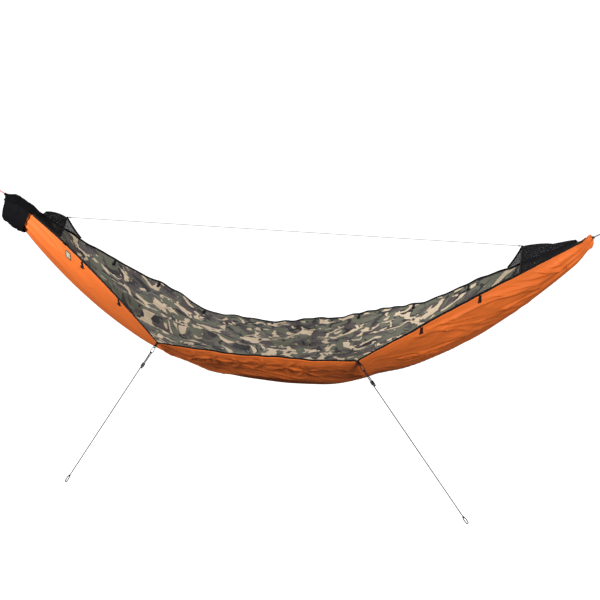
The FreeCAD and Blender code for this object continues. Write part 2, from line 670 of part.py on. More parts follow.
def make_guy(end):
    name = END_NAME[end]
    x = end * tie_x
    _, _, radius, near, _ = section(x)
    sewn = on_section(x, near - (seam + V["tape_width"] / 2) / radius, (tape_inside + tape_outside) / 2)
    finish = at(*GUY_END[end])
    pull = (finish - sewn).normalize()
    across = Vector(pull.y, -pull.x, 0).normalize()
    bar = sewn + pull * V["tie_tab_length"]
    place = frame(bar, pull, across)

    # webbing tab, sewn into the tape and folded round the ring's bar
    half_web = V["webbing_width"] / 2
    bore = V["ring_rod"] + V["fit_gap"]
    fold = cylinder(
        f"TieFold{name}", "Sizes.ring_rod + Sizes.fit_gap + 0.8 * Sizes.webbing_thick",
        "Sizes.webbing_width", Placement(Vector(0, -half_web, 0), ALONG_Y),
    )
    strap = box(
        f"TieStrap{name}", f"Sizes.tie_tab_length - {bore}", "Sizes.webbing_width", "Sizes.webbing_thick",
        Placement(Vector(-V["tie_tab_length"], -half_web, -V["webbing_thick"] / 2), Rotation()),
    )
    tunnel = cylinder(
        f"TieTunnel{name}", "Sizes.ring_rod + Sizes.fit_gap", "2 * Sizes.webbing_width",
        Placement(Vector(0, -2 * half_web, 0), ALONG_Y),
    )
    tab = cut(f"TieTabLocal{name}", fuse(f"TieTabSolid{name}", [fold, strap]), tunnel)
    tab.Placement = place
    trimmed = cut(f"TieTabTrim{name}", tab, near_tape)
    node(f"{name}_tie_out", cut(f"TieTab{name}", trimmed, outer_shell))

    # D-ring
    half, rod = "Sizes.ring_half", "Sizes.ring_rod"
    parts = [
        torus(f"RingBend{name}", half, rod, "180", turned(Vector(), UP, -90)),
        cylinder(f"RingBar{name}", rod, f"2 * {half}", Placement(Vector(0, -V["ring_half"], 0), ALONG_Y)),
    ]
    for k, y in enumerate((-V["ring_half"], V["ring_half"])):
        parts.append(sphere(f"RingCorner{name}{k}", rod, Vector(0, y, 0)))
    node(f"{name}_d_ring", fuse(f"Ring{name}", parts), place)

    # snap hook on the ring
    hook_at = bar + pull * (V["ring_half"] - V["ring_rod"] - V["fit_gap"])
    make_clip(f"{name}_snap_hook", "hook", frame(hook_at, pull, pull.cross(across) * -1))

    # the line goes round the hook and comes back to its tensioner
    hook_end = hook_at + pull * (2 * V["hook_inner"] + V["hook_straight"] + V["hook_rod"])
    line = frame(hook_end, pull, across)
    bend = V["hook_rod"] + V["guy_cord"] / 2 + V["fit_gap"]
    length = (finish - hook_end).Length
    back = V["guy_return"]
    edges = [
        Part.LineSegment(Vector(back, -bend, 0), Vector(0, -bend, 0)).toShape(),
        Part.Arc(Vector(0, -bend, 0), Vector(-bend, 0, 0), Vector(0, bend, 0)).toShape(),
        Part.LineSegment(Vector(0, bend, 0), Vector(length, bend, 0)).toShape(),
    ]
    cord = node(f"{name}_guy_line", shaped(f"Guy{name}", tube(Part.Wire(edges), V["guy_cord"])), line)
    print(f"{name} guy: total from the tape {(finish - sewn).Length:.1f}, from the hook {length:.1f}")

    # loop for the peg
    loop_from = length + V["guy_cord"] / 2 + V["peg_loop_radius"]
    loop_to = loop_from + V["peg_loop_length"]
    loop_r, cord_r = "Sizes.peg_loop_radius", "Sizes.guy_cord / 2"
    pieces = [
        torus(f"PegLoopA{name}", loop_r, cord_r, "180", turned(Vector(loop_from, bend, 0), UP, 90)),
        torus(f"PegLoopB{name}", loop_r, cord_r, "180", turned(Vector(loop_to, bend, 0), UP, -90)),
    ]
    for k, side in enumerate((-1, 1)):
        start = Vector(loop_from, bend + side * V["peg_loop_radius"], 0)
        straight = Placement(start, ALONG_X)
        pieces.append(cylinder(f"PegLoop{name}{k}", cord_r, "Sizes.peg_loop_length", straight))
    loop = node(f"{name}_peg_loop", fuse(f"PegLoop{name}", pieces), line)
    knots = []
    ties = ((Vector(length, bend, 0), GUY_KNOT), (Vector(back, -bend, 0), TAIL_KNOT))
    for k, (spot, size) in enumerate(ties):
        ball = sphere(f"GuyKnotBall{name}{k}", str(size), line.multVec(spot), line.Rotation)
        tied = cut(f"GuyKnotCord{name}{k}", ball, cord)
        knots.append(cut(f"GuyKnotLoop{name}{k}", tied, loop))
    node(f"{name}_guy_knots", compound(f"GuyKnots{name}", knots))

    # tensioner over both strands
    start = back - TAIL_KNOT - V["fit_gap"] - V["tensioner_length"]
    bar_block = box(
        f"TensionerBlock{name}", "Sizes.tensioner_length", "Sizes.tensioner_width", "Sizes.tensioner_thick",
        Placement(Vector(start, -V["tensioner_width"] / 2, -V["tensioner_thick"] / 2), Rotation()),
    )
    DOC.recompute()
    rounded = DOC.addObject("Part::Fillet", f"TensionerRound{name}")
    rounded.Base = bar_block
    reach = min(1.2, 0.3 * V["tensioner_thick"])
    rounded.Edges = [(k + 1, reach, reach) for k in range(len(bar_block.Shape.Edges))]
    holes = [
        cylinder(
            f"TensionerHole{name}{k}", "Sizes.guy_cord / 2 + Sizes.fit_gap / 2", "3 * Sizes.tensioner_length",
            Placement(Vector(start - V["tensioner_length"], side * bend, 0), ALONG_X),
        )
        for k, side in enumerate((-1, 1))
    ]
    node(f"{name}_tensioner", cut(f"Tensioner{name}", rounded, fuse(f"TensionerHoles{name}", holes)), line)
    peg = line.multVec(Vector(loop_to, bend, 0)) * 0.001
    print(
        f"{name} peg loop at [{peg.x:.6f}, {peg.y:.6f}, {peg.z:.6f}]"
        f" axis [{pull.x:.7f}, {pull.y:.7f}, {pull.z:.7f}]"
    )
    report_joint(f"{name}_guy_swing", bar, across)
    report_joint(f"{name}_tensioner_slide", line.multVec(Vector(start, 0, 0)), pull)


for end in (HEAD, FOOT):
    make_guy(end)


# ---------------------------------------------------------------- net toggles, label and zip sliders
NEAR_TOGGLES = (-869, -653, 678, 904)
FAR_TOGGLES = (-938, -736, -515, 276, 551, 816)
LOOP_WIDTH, LOOP_LENGTH, LOOP_THICK = 13, 30, 1.4
inner_face = bed_outside - V["bed_cloth"]


def make_toggles(side, places, share, toward, offset, outside):
    """Webbing loops that hang from a tape, each with a barrel toggle on it. outside is -1 on the
    outer face of the bed and 1 on its inner face."""
    loops, barrels = [], []
    for k, x in enumerate(places):
        seat = surface_frame(x, share, toward * (LOOP_LENGTH / 2 + 2), offset)
        low = -LOOP_THICK if outside < 0 else 0
        loops.append(
            box(
                f"{side}Loop{k}", str(LOOP_WIDTH), str(LOOP_LENGTH), str(LOOP_THICK),
                seat.multiply(Placement(Vector(-LOOP_WIDTH / 2, -LOOP_LENGTH / 2, low), Rotation())),
            )
        )
        rise = outside * (LOOP_THICK + V["fit_gap"] + V["toggle_radius"])
        middle = Vector(-V["toggle_length"] / 2, toward * LOOP_LENGTH * 0.3, rise)
        barrels.append(
            cylinder(
                f"{side}Barrel{k}", "Sizes.toggle_radius", "Sizes.toggle_length",
                seat.multiply(Placement(middle, ALONG_X)),
            )
        )
    node(f"{side}_toggle_loops", compound(f"{side}Loops", loops))
    node(f"{side}_toggles", compound(f"{side}Toggles", barrels))


make_toggles("near", NEAR_TOGGLES, 0, 1, V["fit_gap"], -1)
make_toggles("far", FAR_TOGGLES, 1, -1, inner_face - 2 * V["fit_gap"], 1)

LABEL_X, LABEL_IN, LABEL_THICK = -957, 36, 0.8
label_seat = surface_frame(LABEL_X, 0, LABEL_IN, V["fit_gap"])
corner = Vector(-V["label_width"] / 2, -V["label_height"] / 2, -LABEL_THICK)
node(
    "label_patch",
    box(
        "LabelPatch", "Sizes.label_width", "Sizes.label_height", str(LABEL_THICK),
        label_seat.multiply(Placement(corner, Rotation())),
    ),
)

SLIDER_FROM_HOOD = 32  # from the hood's mouth
SLIDER_RUN = 50
SLIDER_GAP = 0.7
PULL_LENGTH, PULL_WIDTH, PULL_THICK = 22, 6, 1.2


def make_slider(end):
    name = END_NAME[end]
    x = HOOD_MOUTH[end][0] - end * SLIDER_FROM_HOOD
    middle, raised = -seam - V["tape_width"] / 2, tape_outside + SLIDER_GAP
    seat = surface_frame(x, 0, middle, raised)
    travel = surface(x - end * SLIDER_RUN, 0, middle, raised) - surface(x, 0, middle, raised)
    length, width, thick = V["slider_length"], 0.85 * V["tape_width"], V["slider_thick"]
    plate = box(
        f"SliderPlate{name}", "Sizes.slider_length", "0.85 * Sizes.tape_width", "0.5 * Sizes.slider_thick",
        seat.multiply(Placement(Vector(-length / 2, -width / 2, -thick / 2), Rotation())),
    )
    bridge = box(
        f"SliderBridge{name}", "0.6 * Sizes.slider_length", "0.4 * Sizes.tape_width", "Sizes.slider_thick",
        seat.multiply(Placement(Vector(-0.3 * length, -0.2 * V["tape_width"], -thick), Rotation())),
    )
    node(f"{name}_zip_slider", fuse(f"Slider{name}", [plate, bridge]))
    pull_from = -0.3 * length if end == HEAD else 0.3 * length - PULL_LENGTH
    pull_low = -thick - V["fit_gap"] - PULL_THICK
    pull = box(
        f"SliderPull{name}", str(PULL_LENGTH), str(PULL_WIDTH), str(PULL_THICK),
        seat.multiply(Placement(Vector(pull_from, -PULL_WIDTH / 2, pull_low), Rotation())),
    )
    node(f"{name}_zip_pull", pull)
    report_joint(f"{name}_slider_slide", seat.Base, travel.normalize())


for end in (HEAD, FOOT):
    make_slider(end)


# ---------------------------------------------------------------- stuff sack over the head gather
SACK_NECK = V["suspension_cord"] / 2 + V["fit_gap"] + V["bag_cloth"]
# rings across the cord: distance from the gather towards the bed, half width, depth below, height above
SACK_RINGS = (
    (-48, SACK_NECK, SACK_NECK, SACK_NECK),
    (-38, SACK_NECK, SACK_NECK, SACK_NECK),
    (-17, 24, 16, 14),
    (0, 42, 88, 24),
    (30, 74, 108, 34),
)
# rings over the bed: how far past the gathered end they meet its near and far edges, how far their
# lowest point hangs under the cord's line, and their highest point's distance from the gather and height
# over that line (the mouth lies on the hood instead)
SACK_OVER_BED = ((8, 2, 112, (78, 42)), (52, 24, 108, (106, 44)), (76, 36, 99, None))
SACK_CLEAR = 8


def arcs(near, low, far, high):
    return Part.Wire([Part.Arc(near, low, far).toShape(), Part.Arc(far, high, near).toShape()])


def sack_wires(inset):
    up = Vector(math.sin(hang), 0, math.cos(hang))

    def by_cord(back, rise):
        return gather_point(HEAD) - cord_up(HEAD) * back + up * rise

    wires = []
    for back, half, depth, height in SACK_RINGS:
        side = SIDE * (half - inset)
        low, high = by_cord(back, inset - depth), by_cord(back, height - inset)
        wires.append(arcs(by_cord(back, 0) - side, low, by_cord(back, 0) + side, high))
    stand = SACK_CLEAR - inset
    for near_past, far_past, depth, top in SACK_OVER_BED:
        _, _, near_radius, near, _ = section(near_past - bed_end)
        _, _, far_radius, _, far = section(far_past - bed_end)
        beyond = tape_edge + V["net_gap"] + 5
        near_tip = on_section(near_past - bed_end, near - beyond / near_radius, stand)
        far_tip = on_section(far_past - bed_end, far + beyond / far_radius, stand)
        if top:
            high = by_cord(top[0], top[1] - inset)
        else:
            share = (near_past - HOOD_START) / (bed_end - HOOD_START + HOOD_MOUTH[HEAD][0])
            high = hood_points(HEAD, share)[1] + UP * (SACK_CLEAR + 4 - inset)
        normal = (near_tip - high).cross(far_tip - high)
        low = by_cord(0, inset - depth)
        low = low + cord_up(HEAD) * ((high - low).dot(normal) / cord_up(HEAD).dot(normal))
        wires.append(arcs(near_tip, low, far_tip, high))
    return wires


inside = sack_wires(V["bag_cloth"])
past_mouth = inside[-1].copy()
past_mouth.translate(cord_up(HEAD) * -SACK_CLEAR)
sack = Part.makeLoft(sack_wires(0), True, True).cut(Part.makeLoft(inside + [past_mouth], True, True))
node("stuff_sack", shaped("StuffSack", sack))
throat = gather_point(HEAD) + cord_up(HEAD) * 43
half_cord = V["drawcord"] / 2
loop_radius = SACK_NECK + half_cord + 0.1
drawcord_loop = torus(
    "DrawcordLoop", str(loop_radius), "Sizes.drawcord / 2", "360",
    frame(throat, Vector(math.sin(hang), 0, math.cos(hang)), SIDE),
)
LOCK_DROP = 26  # cord lock's middle below the sack's throat
TAIL = 20  # cord below the lock's middle
lock_middle = throat - UP * LOCK_DROP
tail = cylinder(
    "DrawcordTail", "Sizes.drawcord / 2", str(LOCK_DROP + TAIL - loop_radius),
    Placement(lock_middle - UP * TAIL, Rotation()),
)
node("sack_drawcord_tail", cut("DrawcordTailEnd", tail, drawcord_loop))
node("sack_drawcord", drawcord_loop)
TAIL_END = 3.2
ball = sphere("DrawcordKnotBall", str(TAIL_END), lock_middle - UP * TAIL)
node("sack_drawcord_knot", cut("DrawcordKnot", ball, tail))

# barrel cord lock: a cup, a sprung plunger and the drawcord through both
WALL = 1.4
lock_place = Placement(lock_middle, Rotation())
travel = V["button_travel"]
cup = cylinder(
    "LockCup", "Sizes.lock_radius", "Sizes.lock_length",
    Placement(Vector(0, -V["lock_length"] / 2, 0), ALONG_Y),
)
well = cylinder(
    "LockWell", f"Sizes.lock_radius - {WALL}", "Sizes.lock_length",
    Placement(Vector(0, -V["lock_length"] / 2 - WALL, 0), ALONG_Y),
)
cord_hole = cylinder(
    "LockCordHole", "Sizes.drawcord / 2 + Sizes.fit_gap", "4 * Sizes.lock_radius",
    Placement(Vector(0, 0, -2 * V["lock_radius"]), Rotation()),
)
node("cord_lock_body", cut("LockBodyHole", cut("LockBody", cup, well), cord_hole), lock_place)
plunger_from = -V["lock_length"] / 2 - travel - 1.0
plunger_to = V["lock_length"] / 2 - WALL - travel - V["fit_gap"]
plunger = cylinder(
    "LockPlungerBar", f"Sizes.lock_radius - {WALL} - Sizes.fit_gap", str(plunger_to - plunger_from),
    Placement(Vector(0, plunger_from, 0), ALONG_Y),
)
slot_half = half_cord + V["fit_gap"]
slot_width = "Sizes.drawcord + 2 * Sizes.fit_gap"
slot = box(
    "LockPlungerSlot", slot_width, f"{slot_width} + Sizes.button_travel", "4 * Sizes.lock_radius",
    Placement(Vector(-slot_half, -slot_half - travel, -2 * V["lock_radius"]), Rotation()),
)
node("cord_lock_button", cut("LockPlunger", plunger, slot), lock_place)
report_joint("sack_slide", throat, cord_up(HEAD))
report_joint("cord_lock_press", lock_middle, SIDE)


# ---------------------------------------------------------------- check and write
DOC.recompute()
for item in DOC.Objects:
    if "Invalid" in item.State or "Error" in item.State:
        raise RuntimeError(f"{item.Name} ({item.Label}) failed: {item.State}")
for name, item in NODES.items():
    shape = item.Shape
    if shape.isNull() or not shape.isValid() or not shape.Solids:
        raise RuntimeError(f"{name} has no valid solid")
os.makedirs("parts", exist_ok=True)
for name, item in NODES.items():
    item.Shape.exportStep(f"parts/{name}.step")
span = 2 * mid_x
print(f"{len(NODES)} nodes written, hang span {span:.1f}, middle {mid_x:.1f}, gathers at z {gather_z:.1f}")
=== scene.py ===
import json
from math import atan2, copysign, cos, exp, hypot, pi, radians, sin, tau

import bpy
import numpy as np
from mathutils import Matrix, Quaternion, Vector, noise


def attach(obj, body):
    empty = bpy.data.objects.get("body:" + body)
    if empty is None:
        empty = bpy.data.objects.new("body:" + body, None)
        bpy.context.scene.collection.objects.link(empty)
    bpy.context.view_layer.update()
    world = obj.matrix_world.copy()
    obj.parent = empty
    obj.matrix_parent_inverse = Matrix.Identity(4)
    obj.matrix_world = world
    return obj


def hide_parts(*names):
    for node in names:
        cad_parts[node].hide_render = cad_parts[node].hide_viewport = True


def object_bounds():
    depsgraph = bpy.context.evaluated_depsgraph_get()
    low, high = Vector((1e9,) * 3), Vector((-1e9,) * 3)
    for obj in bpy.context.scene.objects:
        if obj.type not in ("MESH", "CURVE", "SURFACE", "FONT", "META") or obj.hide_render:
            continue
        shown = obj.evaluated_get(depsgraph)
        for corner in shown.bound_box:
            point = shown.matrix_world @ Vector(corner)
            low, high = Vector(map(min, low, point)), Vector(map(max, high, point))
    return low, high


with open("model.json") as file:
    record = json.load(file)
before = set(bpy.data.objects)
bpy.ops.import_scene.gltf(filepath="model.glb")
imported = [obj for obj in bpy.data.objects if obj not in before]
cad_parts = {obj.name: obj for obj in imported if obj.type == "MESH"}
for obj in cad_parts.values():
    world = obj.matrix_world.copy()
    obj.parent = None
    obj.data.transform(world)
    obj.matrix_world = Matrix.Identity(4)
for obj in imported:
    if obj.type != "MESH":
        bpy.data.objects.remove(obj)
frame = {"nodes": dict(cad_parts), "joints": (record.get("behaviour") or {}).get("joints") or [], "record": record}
CAD_LOW, CAD_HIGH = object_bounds()

# Camping hammock, metres, in the CAD frame: +X from the head end to the foot end, +Y to the far side.
HEAD, FOOT = -1, 1
END_NAME = {HEAD: "head", FOOT: "foot"}
MOUNTS = {mount["name"]: mount["pos_m"] for mount in frame["record"]["mounts"]}
MID_X = MOUNTS["foot_anchor"][0] / 2  # half way between the two gathers
HANG = radians(30)
CORD_RUN = 0.216  # from where the strap bears on a carabiner to the gather
GATHER_Z = -CORD_RUN * sin(HANG)
HALF_SPAN = MID_X - CORD_RUN * cos(HANG)
BED_END = HALF_SPAN - 0.060
TIE_X = 0.433
UP = Vector((0, 0, 1))
SIDE = Vector((0, 1, 0))


# ---------- mesh helpers
def grid_faces(rows, columns, closed=False):
    """Quads between rows of points; closed joins each row's last point to its first."""
    faces = []
    for i in range(rows - 1):
        for j in range(columns if closed else columns - 1):
            k = (j + 1) % columns
            faces.append((i * columns + j, i * columns + k, (i + 1) * columns + k, (i + 1) * columns + j))
    return faces


def tube_faces(rows, columns):
    """Quads round a tube and its two end caps."""
    caps = [tuple(reversed(range(columns))), tuple((rows - 1) * columns + j for j in range(columns))]
    return grid_faces(rows, columns, closed=True) + caps


def new_object(name, data):
    obj = bpy.data.objects.new(name, data)
    bpy.context.scene.collection.objects.link(obj)
    return obj


def add_mesh(name, points, faces, material, uv=None, smooth=True):
    mesh = bpy.data.meshes.new(name)
    mesh.from_pydata([tuple(p) for p in points], [], faces)
    if uv is not None:
        layer = mesh.uv_layers.new(name="cloth")
        flat = [c for loop in mesh.loops for c in uv[loop.vertex_index]]
        layer.data.foreach_set("uv", flat)
    mesh.polygons.foreach_set("use_smooth", [smooth] * len(mesh.polygons))
    mesh.update()
    obj = new_object(name, mesh)
    obj.data.materials.append(material)
    return obj


def thicken(obj, thickness):
    wall = obj.modifiers.new("Thickness", "SOLIDIFY")
    wall.thickness, wall.offset = thickness, 0
    return obj


def dress(obj, body, slot, *nodes):
    """Ride a piece on its body and let it stand for CAD nodes. Its slot argument is not used."""
    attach(obj, body)
    if nodes:
        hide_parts(*nodes)
    return obj


def placed(origin, x_axis, y_hint):
    """Matrix whose X is x_axis and whose Y is as near y_hint as it can be."""
    x = Vector(x_axis).normalized()
    z = x.cross(Vector(y_hint)).normalized()
    turn = Matrix((x, z.cross(x), z)).transposed().to_4x4()
    return Matrix.Translation(origin) @ turn


def sweep(centres, outline, up_hint, closed=False):
    """Points of an outline (pairs across and up) carried along a line, and the faces between them."""
    points, count = [], len(centres)
    for i, c in enumerate(centres):
        after = centres[(i + 1) % count] if closed or i < count - 1 else c
        before = centres[i - 1] if closed or i else c
        hint = up_hint(i) if callable(up_hint) else up_hint
        along = (after - before).normalized()
        across = along.cross(hint).normalized()
        up = across.cross(along)
        shape = outline(i) if callable(outline) else outline
        points += [c + across * a + up * b for a, b in shape]
    columns = len(shape)
    if not closed:
        return points, tube_faces(count, columns)
    last = (count - 1) * columns
    seam = [(last + j, last + (j + 1) % columns, (j + 1) % columns, j) for j in range(columns)]
    return points, grid_faces(count, columns, closed=True) + seam


def heading(line, i):
    """The way a line of points runs at its point i."""
    return (line[min(i + 1, len(line) - 1)] - line[max(i - 1, 0)]).normalized()


def ring(radius, count):
    return [(radius * cos(tau * k / count), radius * sin(tau * k / count))
            for k in range(count)]


def rounded_strip(width, thick):
    """Outline of a flat strip with round edges."""
    r, points, steps = thick / 2, [], 3
    for centre, start in ((width / 2 - r, -90), (r - width / 2, 90)):
        for k in range(steps + 1):
            a = radians(start + 180 * k / steps)
            points.append((centre + r * cos(a), r * sin(a)))
    return points


def joined(parts):
    """Several (points, faces) as one."""
    points, faces = [], []
    for more, sides in parts:
        base = len(points)
        points += list(more)
        faces += [tuple(base + k for k in side) for side in sides]
    return points, faces


def spline_line(points, spacing, closed=False):
    """Evenly spaced points on a NURBS curve through the neighbourhood of the given ones."""
    curve = bpy.data.curves.new("guide", "CURVE")
    curve.dimensions = "3D"
    curve.resolution_u = 24
    line = curve.splines.new("NURBS")
    line.points.add(len(points) - 1)
    for point, place in zip(line.points, points):
        point.co = (*place, 1)
    line.order_u = 3
    line.use_endpoint_u = not closed
    line.use_cyclic_u = closed
    guide = new_object("guide", curve)
    mesh = bpy.data.meshes.new_from_object(guide)
    raw = np.array([v.co for v in mesh.vertices])
    bpy.data.objects.remove(guide)
    bpy.data.meshes.remove(mesh)
    if closed:
        raw = np.vstack([raw, raw[:1]])
    runs = np.concatenate([[0], np.cumsum(np.linalg.norm(np.diff(raw, axis=0), axis=1))])
    count = max(2, round(runs[-1] / spacing) + 1)
    places = np.linspace(0, runs[-1], count)[: -1 if closed else None]
    return [Vector([np.interp(p, runs, raw[:, k]) for k in range(3)]) for p in places]


STRANDS, LAY = 8, 5.0  # of a braid: how many, and one turn's length in diameters


def braided(name, points, diameter, material, spacing, closed=False, around=20):
    """A braided cord as a tube whose surface rises where its strands cross."""
    centres = spline_line(points, spacing, closed)
    radius = diameter / 2

    def outline(i):
        turn = tau * i * spacing / (LAY * diameter)
        shape = []
        for k in range(around):
            a = tau * k / around
            crossing = cos(STRANDS / 2 * a + turn) * cos(STRANDS / 2 * a - turn)
            r = radius * (0.97 + 0.05 * crossing)
            shape.append((r * cos(a), r * sin(a)))
        return shape

    hint = Vector((0.137, 0.951, 0.278))
    made, faces = sweep(centres, outline, hint, closed)
    length = [i * spacing for i in range(len(centres))]
    uv = [(length[i], k / around * pi * diameter) for i in range(len(centres)) for k in range(around)]
    return add_mesh(name, made, faces, material, uv), centres


# ---------- materials
def new_material(name, colour, roughness, metallic=0.0, sheen=0.0, specular=0.5):
    material = bpy.data.materials.new(name)
    material.use_nodes = True
    shader = material.node_tree.nodes["Principled BSDF"]
    settings = {
        "Base Color": (*colour, 1), "Roughness": roughness, "Metallic": metallic, "Sheen Weight": sheen,
        "Sheen Roughness": 0.4, "Sheen Tint": (*colour, 1), "Specular IOR Level": specular,
    }
    for socket, value in settings.items():
        shader.inputs[socket].default_value = value
    return material, material.node_tree, shader


def link(tree, source, target):
    tree.links.new(source, target)


def coordinates(tree, kind, scale=(1, 1, 1), turn=0.0):
    """Cloth UVs (metres along and across) or object coordinates, scaled."""
    source = tree.nodes.new("ShaderNodeTexCoord")
    mapping = tree.nodes.new("ShaderNodeMapping")
    mapping.inputs["Scale"].default_value = scale
    mapping.inputs["Rotation"].default_value = (0, 0, turn)
    link(tree, source.outputs[kind], mapping.inputs["Vector"])
    return mapping.outputs["Vector"]


def feed(tree, socket, value):
    """Link an output to a socket, or set the socket to a number or a colour."""
    if isinstance(value, bpy.types.NodeSocket):
        link(tree, value, socket)
    else:
        socket.default_value = (*value, 1) if isinstance(value, tuple) else value


def fed_node(tree, kind, output, inputs, **settings):
    """A new shader node with its settings made and its inputs fed; gives one of its outputs."""
    node = tree.nodes.new("ShaderNode" + kind)
    for name, value in settings.items():
        setattr(node, name, value)
    for socket, value in inputs.items():
        feed(tree, node.inputs[socket], value)
    return node.outputs[output]


def noise_value(tree, vector, scale, detail, rough=0.5, distortion=0.0):
    inputs = {"Scale": scale, "Detail": detail, "Roughness": rough, "Distortion": distortion}
    return fed_node(tree, "TexNoise", "Fac", {**inputs, "Vector": vector})


def wave_value(tree, vector, scale, direction, distortion=0.0):
    inputs = {"Scale": scale, "Distortion": distortion, "Vector": vector}
    return fed_node(tree, "TexWave", "Fac", inputs, bands_direction=direction)


def math_node(tree, operation, a, b):
    return fed_node(tree, "Math", 0, {0: a, 1: b}, operation=operation)


def mix(tree, share, a, b):
    return fed_node(tree, "Mix", "Result", {"Factor": share, "A": a, "B": b}, data_type="RGBA")


def ramp(tree, value, stops):
    node = tree.nodes.new("ShaderNodeValToRGB")
    for mark, (place, colour) in zip(node.color_ramp.elements, stops):
        mark.position = place
        mark.color = (*colour, 1)
    link(tree, value, node.inputs["Fac"])
    return node.outputs["Color"]


def bump(tree, shader, height, strength, distance, after=None):
    inputs = {"Strength": strength, "Distance": distance, "Height": height}
    if after is not None:
        inputs["Normal"] = after
    normal = fed_node(tree, "Bump", "Normal", inputs)
    link(tree, normal, shader.inputs["Normal"])
    return normal


def varied(tree, colour, vector, scale, amount):
    """A colour that drifts a little lighter and darker."""
    low = tuple(c * (1 - amount) for c in colour)
    high = tuple(min(1, c * (1 + amount)) for c in colour)
    return ramp(tree, noise_value(tree, vector, scale, 4), ((0.3, low), (0.7, high)))


def weave(tree, vector, pitch):
    """Plain weave: threads over and under along both cloth directions."""
    threads = [wave_value(tree, vector, 1 / pitch / 2, direction) for direction in "XY"]
    return math_node(tree, "MAXIMUM", *threads)


NYLON_PITCH = 0.0012  # from thread to thread


def crinkled(tree, shader, stretch, turn, strength, depth):
    """Woven nylon's threads, and fine crinkles drawn out along the cloth."""
    fine = bump(tree, shader, weave(tree, coordinates(tree, "UV"), NYLON_PITCH), 0.12, 0.0003)
    crinkles = noise_value(tree, coordinates(tree, "UV", stretch, turn), 1, 5, 0.62, 0.6)
    bump(tree, shader, crinkles, strength, depth, fine)


def nylon(name, colour, roughness, sheen, vary, crinkle, specular):
    """Light woven nylon with fine crinkles, on cloth UVs."""
    material, tree, shader = new_material(name, colour, roughness, sheen=sheen, specular=specular)
    link(tree, varied(tree, colour, coordinates(tree, "UV"), 7, vary), shader.inputs["Base Color"])
    crinkled(tree, shader, (12, 42, 1), 0.25, crinkle, 0.006)
    return material


def webbing(name, colour, pitch, roughness=0.75):
    material, tree, shader = new_material(name, colour, roughness, sheen=0.04, specular=0.15)
    place = coordinates(tree, "Object")
    link(tree, varied(tree, colour, place, 60, 0.15), shader.inputs["Base Color"])
    height = math_node(tree, "ADD", wave_value(tree, place, 1 / pitch / 2, "DIAGONAL", 0.4),
                       noise_value(tree, place, 900, 2))
    bump(tree, shader, height, 0.4, 0.0004)
    return material


def cord_material(name, colour, fleck=None):
    """Braided cord: twill bump along the cord's own UVs and an optional fleck."""
    material, tree, shader = new_material(name, colour, 0.6, sheen=0.06, specular=0.2)
    place = coordinates(tree, "UV")
    base = varied(tree, colour, place, 120, 0.12)
    if fleck:
        spots = noise_value(tree, coordinates(tree, "UV", (260, 700, 1)), 1, 1)
        base = mix(tree, ramp(tree, spots, ((0.60, (0, 0, 0)), (0.66, (1, 1, 1)))), base, fleck)
    link(tree, base, shader.inputs["Base Color"])
    bump(tree, shader, wave_value(tree, place, 420, "DIAGONAL", 0.3), 0.5, 0.0003)
    return material


def metal(name, colour, roughness):
    material, tree, shader = new_material(name, colour, roughness, metallic=1.0)
    place = coordinates(tree, "Object")
    link(tree, varied(tree, colour, place, 90, 0.06), shader.inputs["Base Color"])
    scratches = noise_value(tree, coordinates(tree, "Object", (1, 1, 6)), 300, 4, 0.6)
    shades = ramp(tree, scratches, ((0.3, (roughness * 0.8,) * 3), (0.7, (min(1, roughness * 1.25),) * 3)))
    link(tree, shades, shader.inputs["Roughness"])
    bump(tree, shader, scratches, 0.08, 0.0003)
    return material


def moulded(name, colour):
    material, tree, shader = new_material(name, colour, 0.5, specular=0.45)
    place = coordinates(tree, "Object")
    link(tree, varied(tree, colour, place, 40, 0.1), shader.inputs["Base Color"])
    bump(tree, shader, noise_value(tree, place, 1600, 2), 0.15, 0.0002)
    return material


CAMO_BASE = (0.100, 0.100, 0.072)
CAMO_GREY = (0.062, 0.050, 0.049)
CAMO_DARK = (0.014, 0.011, 0.014)
CAMO_TAN = (0.520, 0.410, 0.290)
CAMO_LONG, CAMO_WIDE = 0.078, 0.042  # length and width of a patch


def camo_cloth():
    """Generic woodland print: dark, grey and tan patches drawn out along the cloth over grey-green."""
    material, tree, shader = new_material("camo_nylon", CAMO_BASE, 0.6, sheen=0.1, specular=0.3)
    colour = CAMO_BASE
    layers = (
        (CAMO_GREY, (0.0, 0.0), 0.510, 1.3, 0.8),
        (CAMO_DARK, (3.7, 9.1), 0.575, 1.0, 1.1),
        (CAMO_TAN, (8.3, 5.9), 0.568, 1.0, 1.1),
    )
    for patch, shift, level, size, distortion in layers:
        vector = coordinates(tree, "UV", (1 / CAMO_LONG / size, 1 / CAMO_WIDE / size, 1), 0.06)
        vector.node.inputs["Location"].default_value = (*shift, 0)
        spread = noise_value(tree, vector, 1.0, 2.2, 0.5, distortion)
        edge = ramp(tree, spread, ((level, (0, 0, 0)), (level + 0.006, (1, 1, 1))))
        colour = mix(tree, edge, colour, patch)
    faded = noise_value(tree, coordinates(tree, "UV"), 9, 3)
    haze = ramp(tree, faded, ((0.35, (0, 0, 0)), (0.7, (0.12,) * 3)))
    colour = mix(tree, haze, colour, (0.16, 0.16, 0.14))
    link(tree, colour, shader.inputs["Base Color"])
    crinkled(tree, shader, (9, 40, 1), -0.1, 0.7, 0.010)
    return material


def net_cloth():
    """Fine black net: threads on a small diamond grid, and the light comes through between them."""
    material, tree, shader = new_material("black_net", (0.0045, 0.0045, 0.0055), 0.8, specular=0.06)
    threads = weave(tree, coordinates(tree, "UV", turn=radians(45)), 0.0020)
    drift = noise_value(tree, coordinates(tree, "UV"), 14, 3)
    level = math_node(tree, "ADD", threads, math_node(tree, "MULTIPLY", drift, 0.25))
    link(tree, ramp(tree, level, ((0.60, (0.24,) * 3), (0.90, (0.93,) * 3))), shader.inputs["Alpha"])
    return material


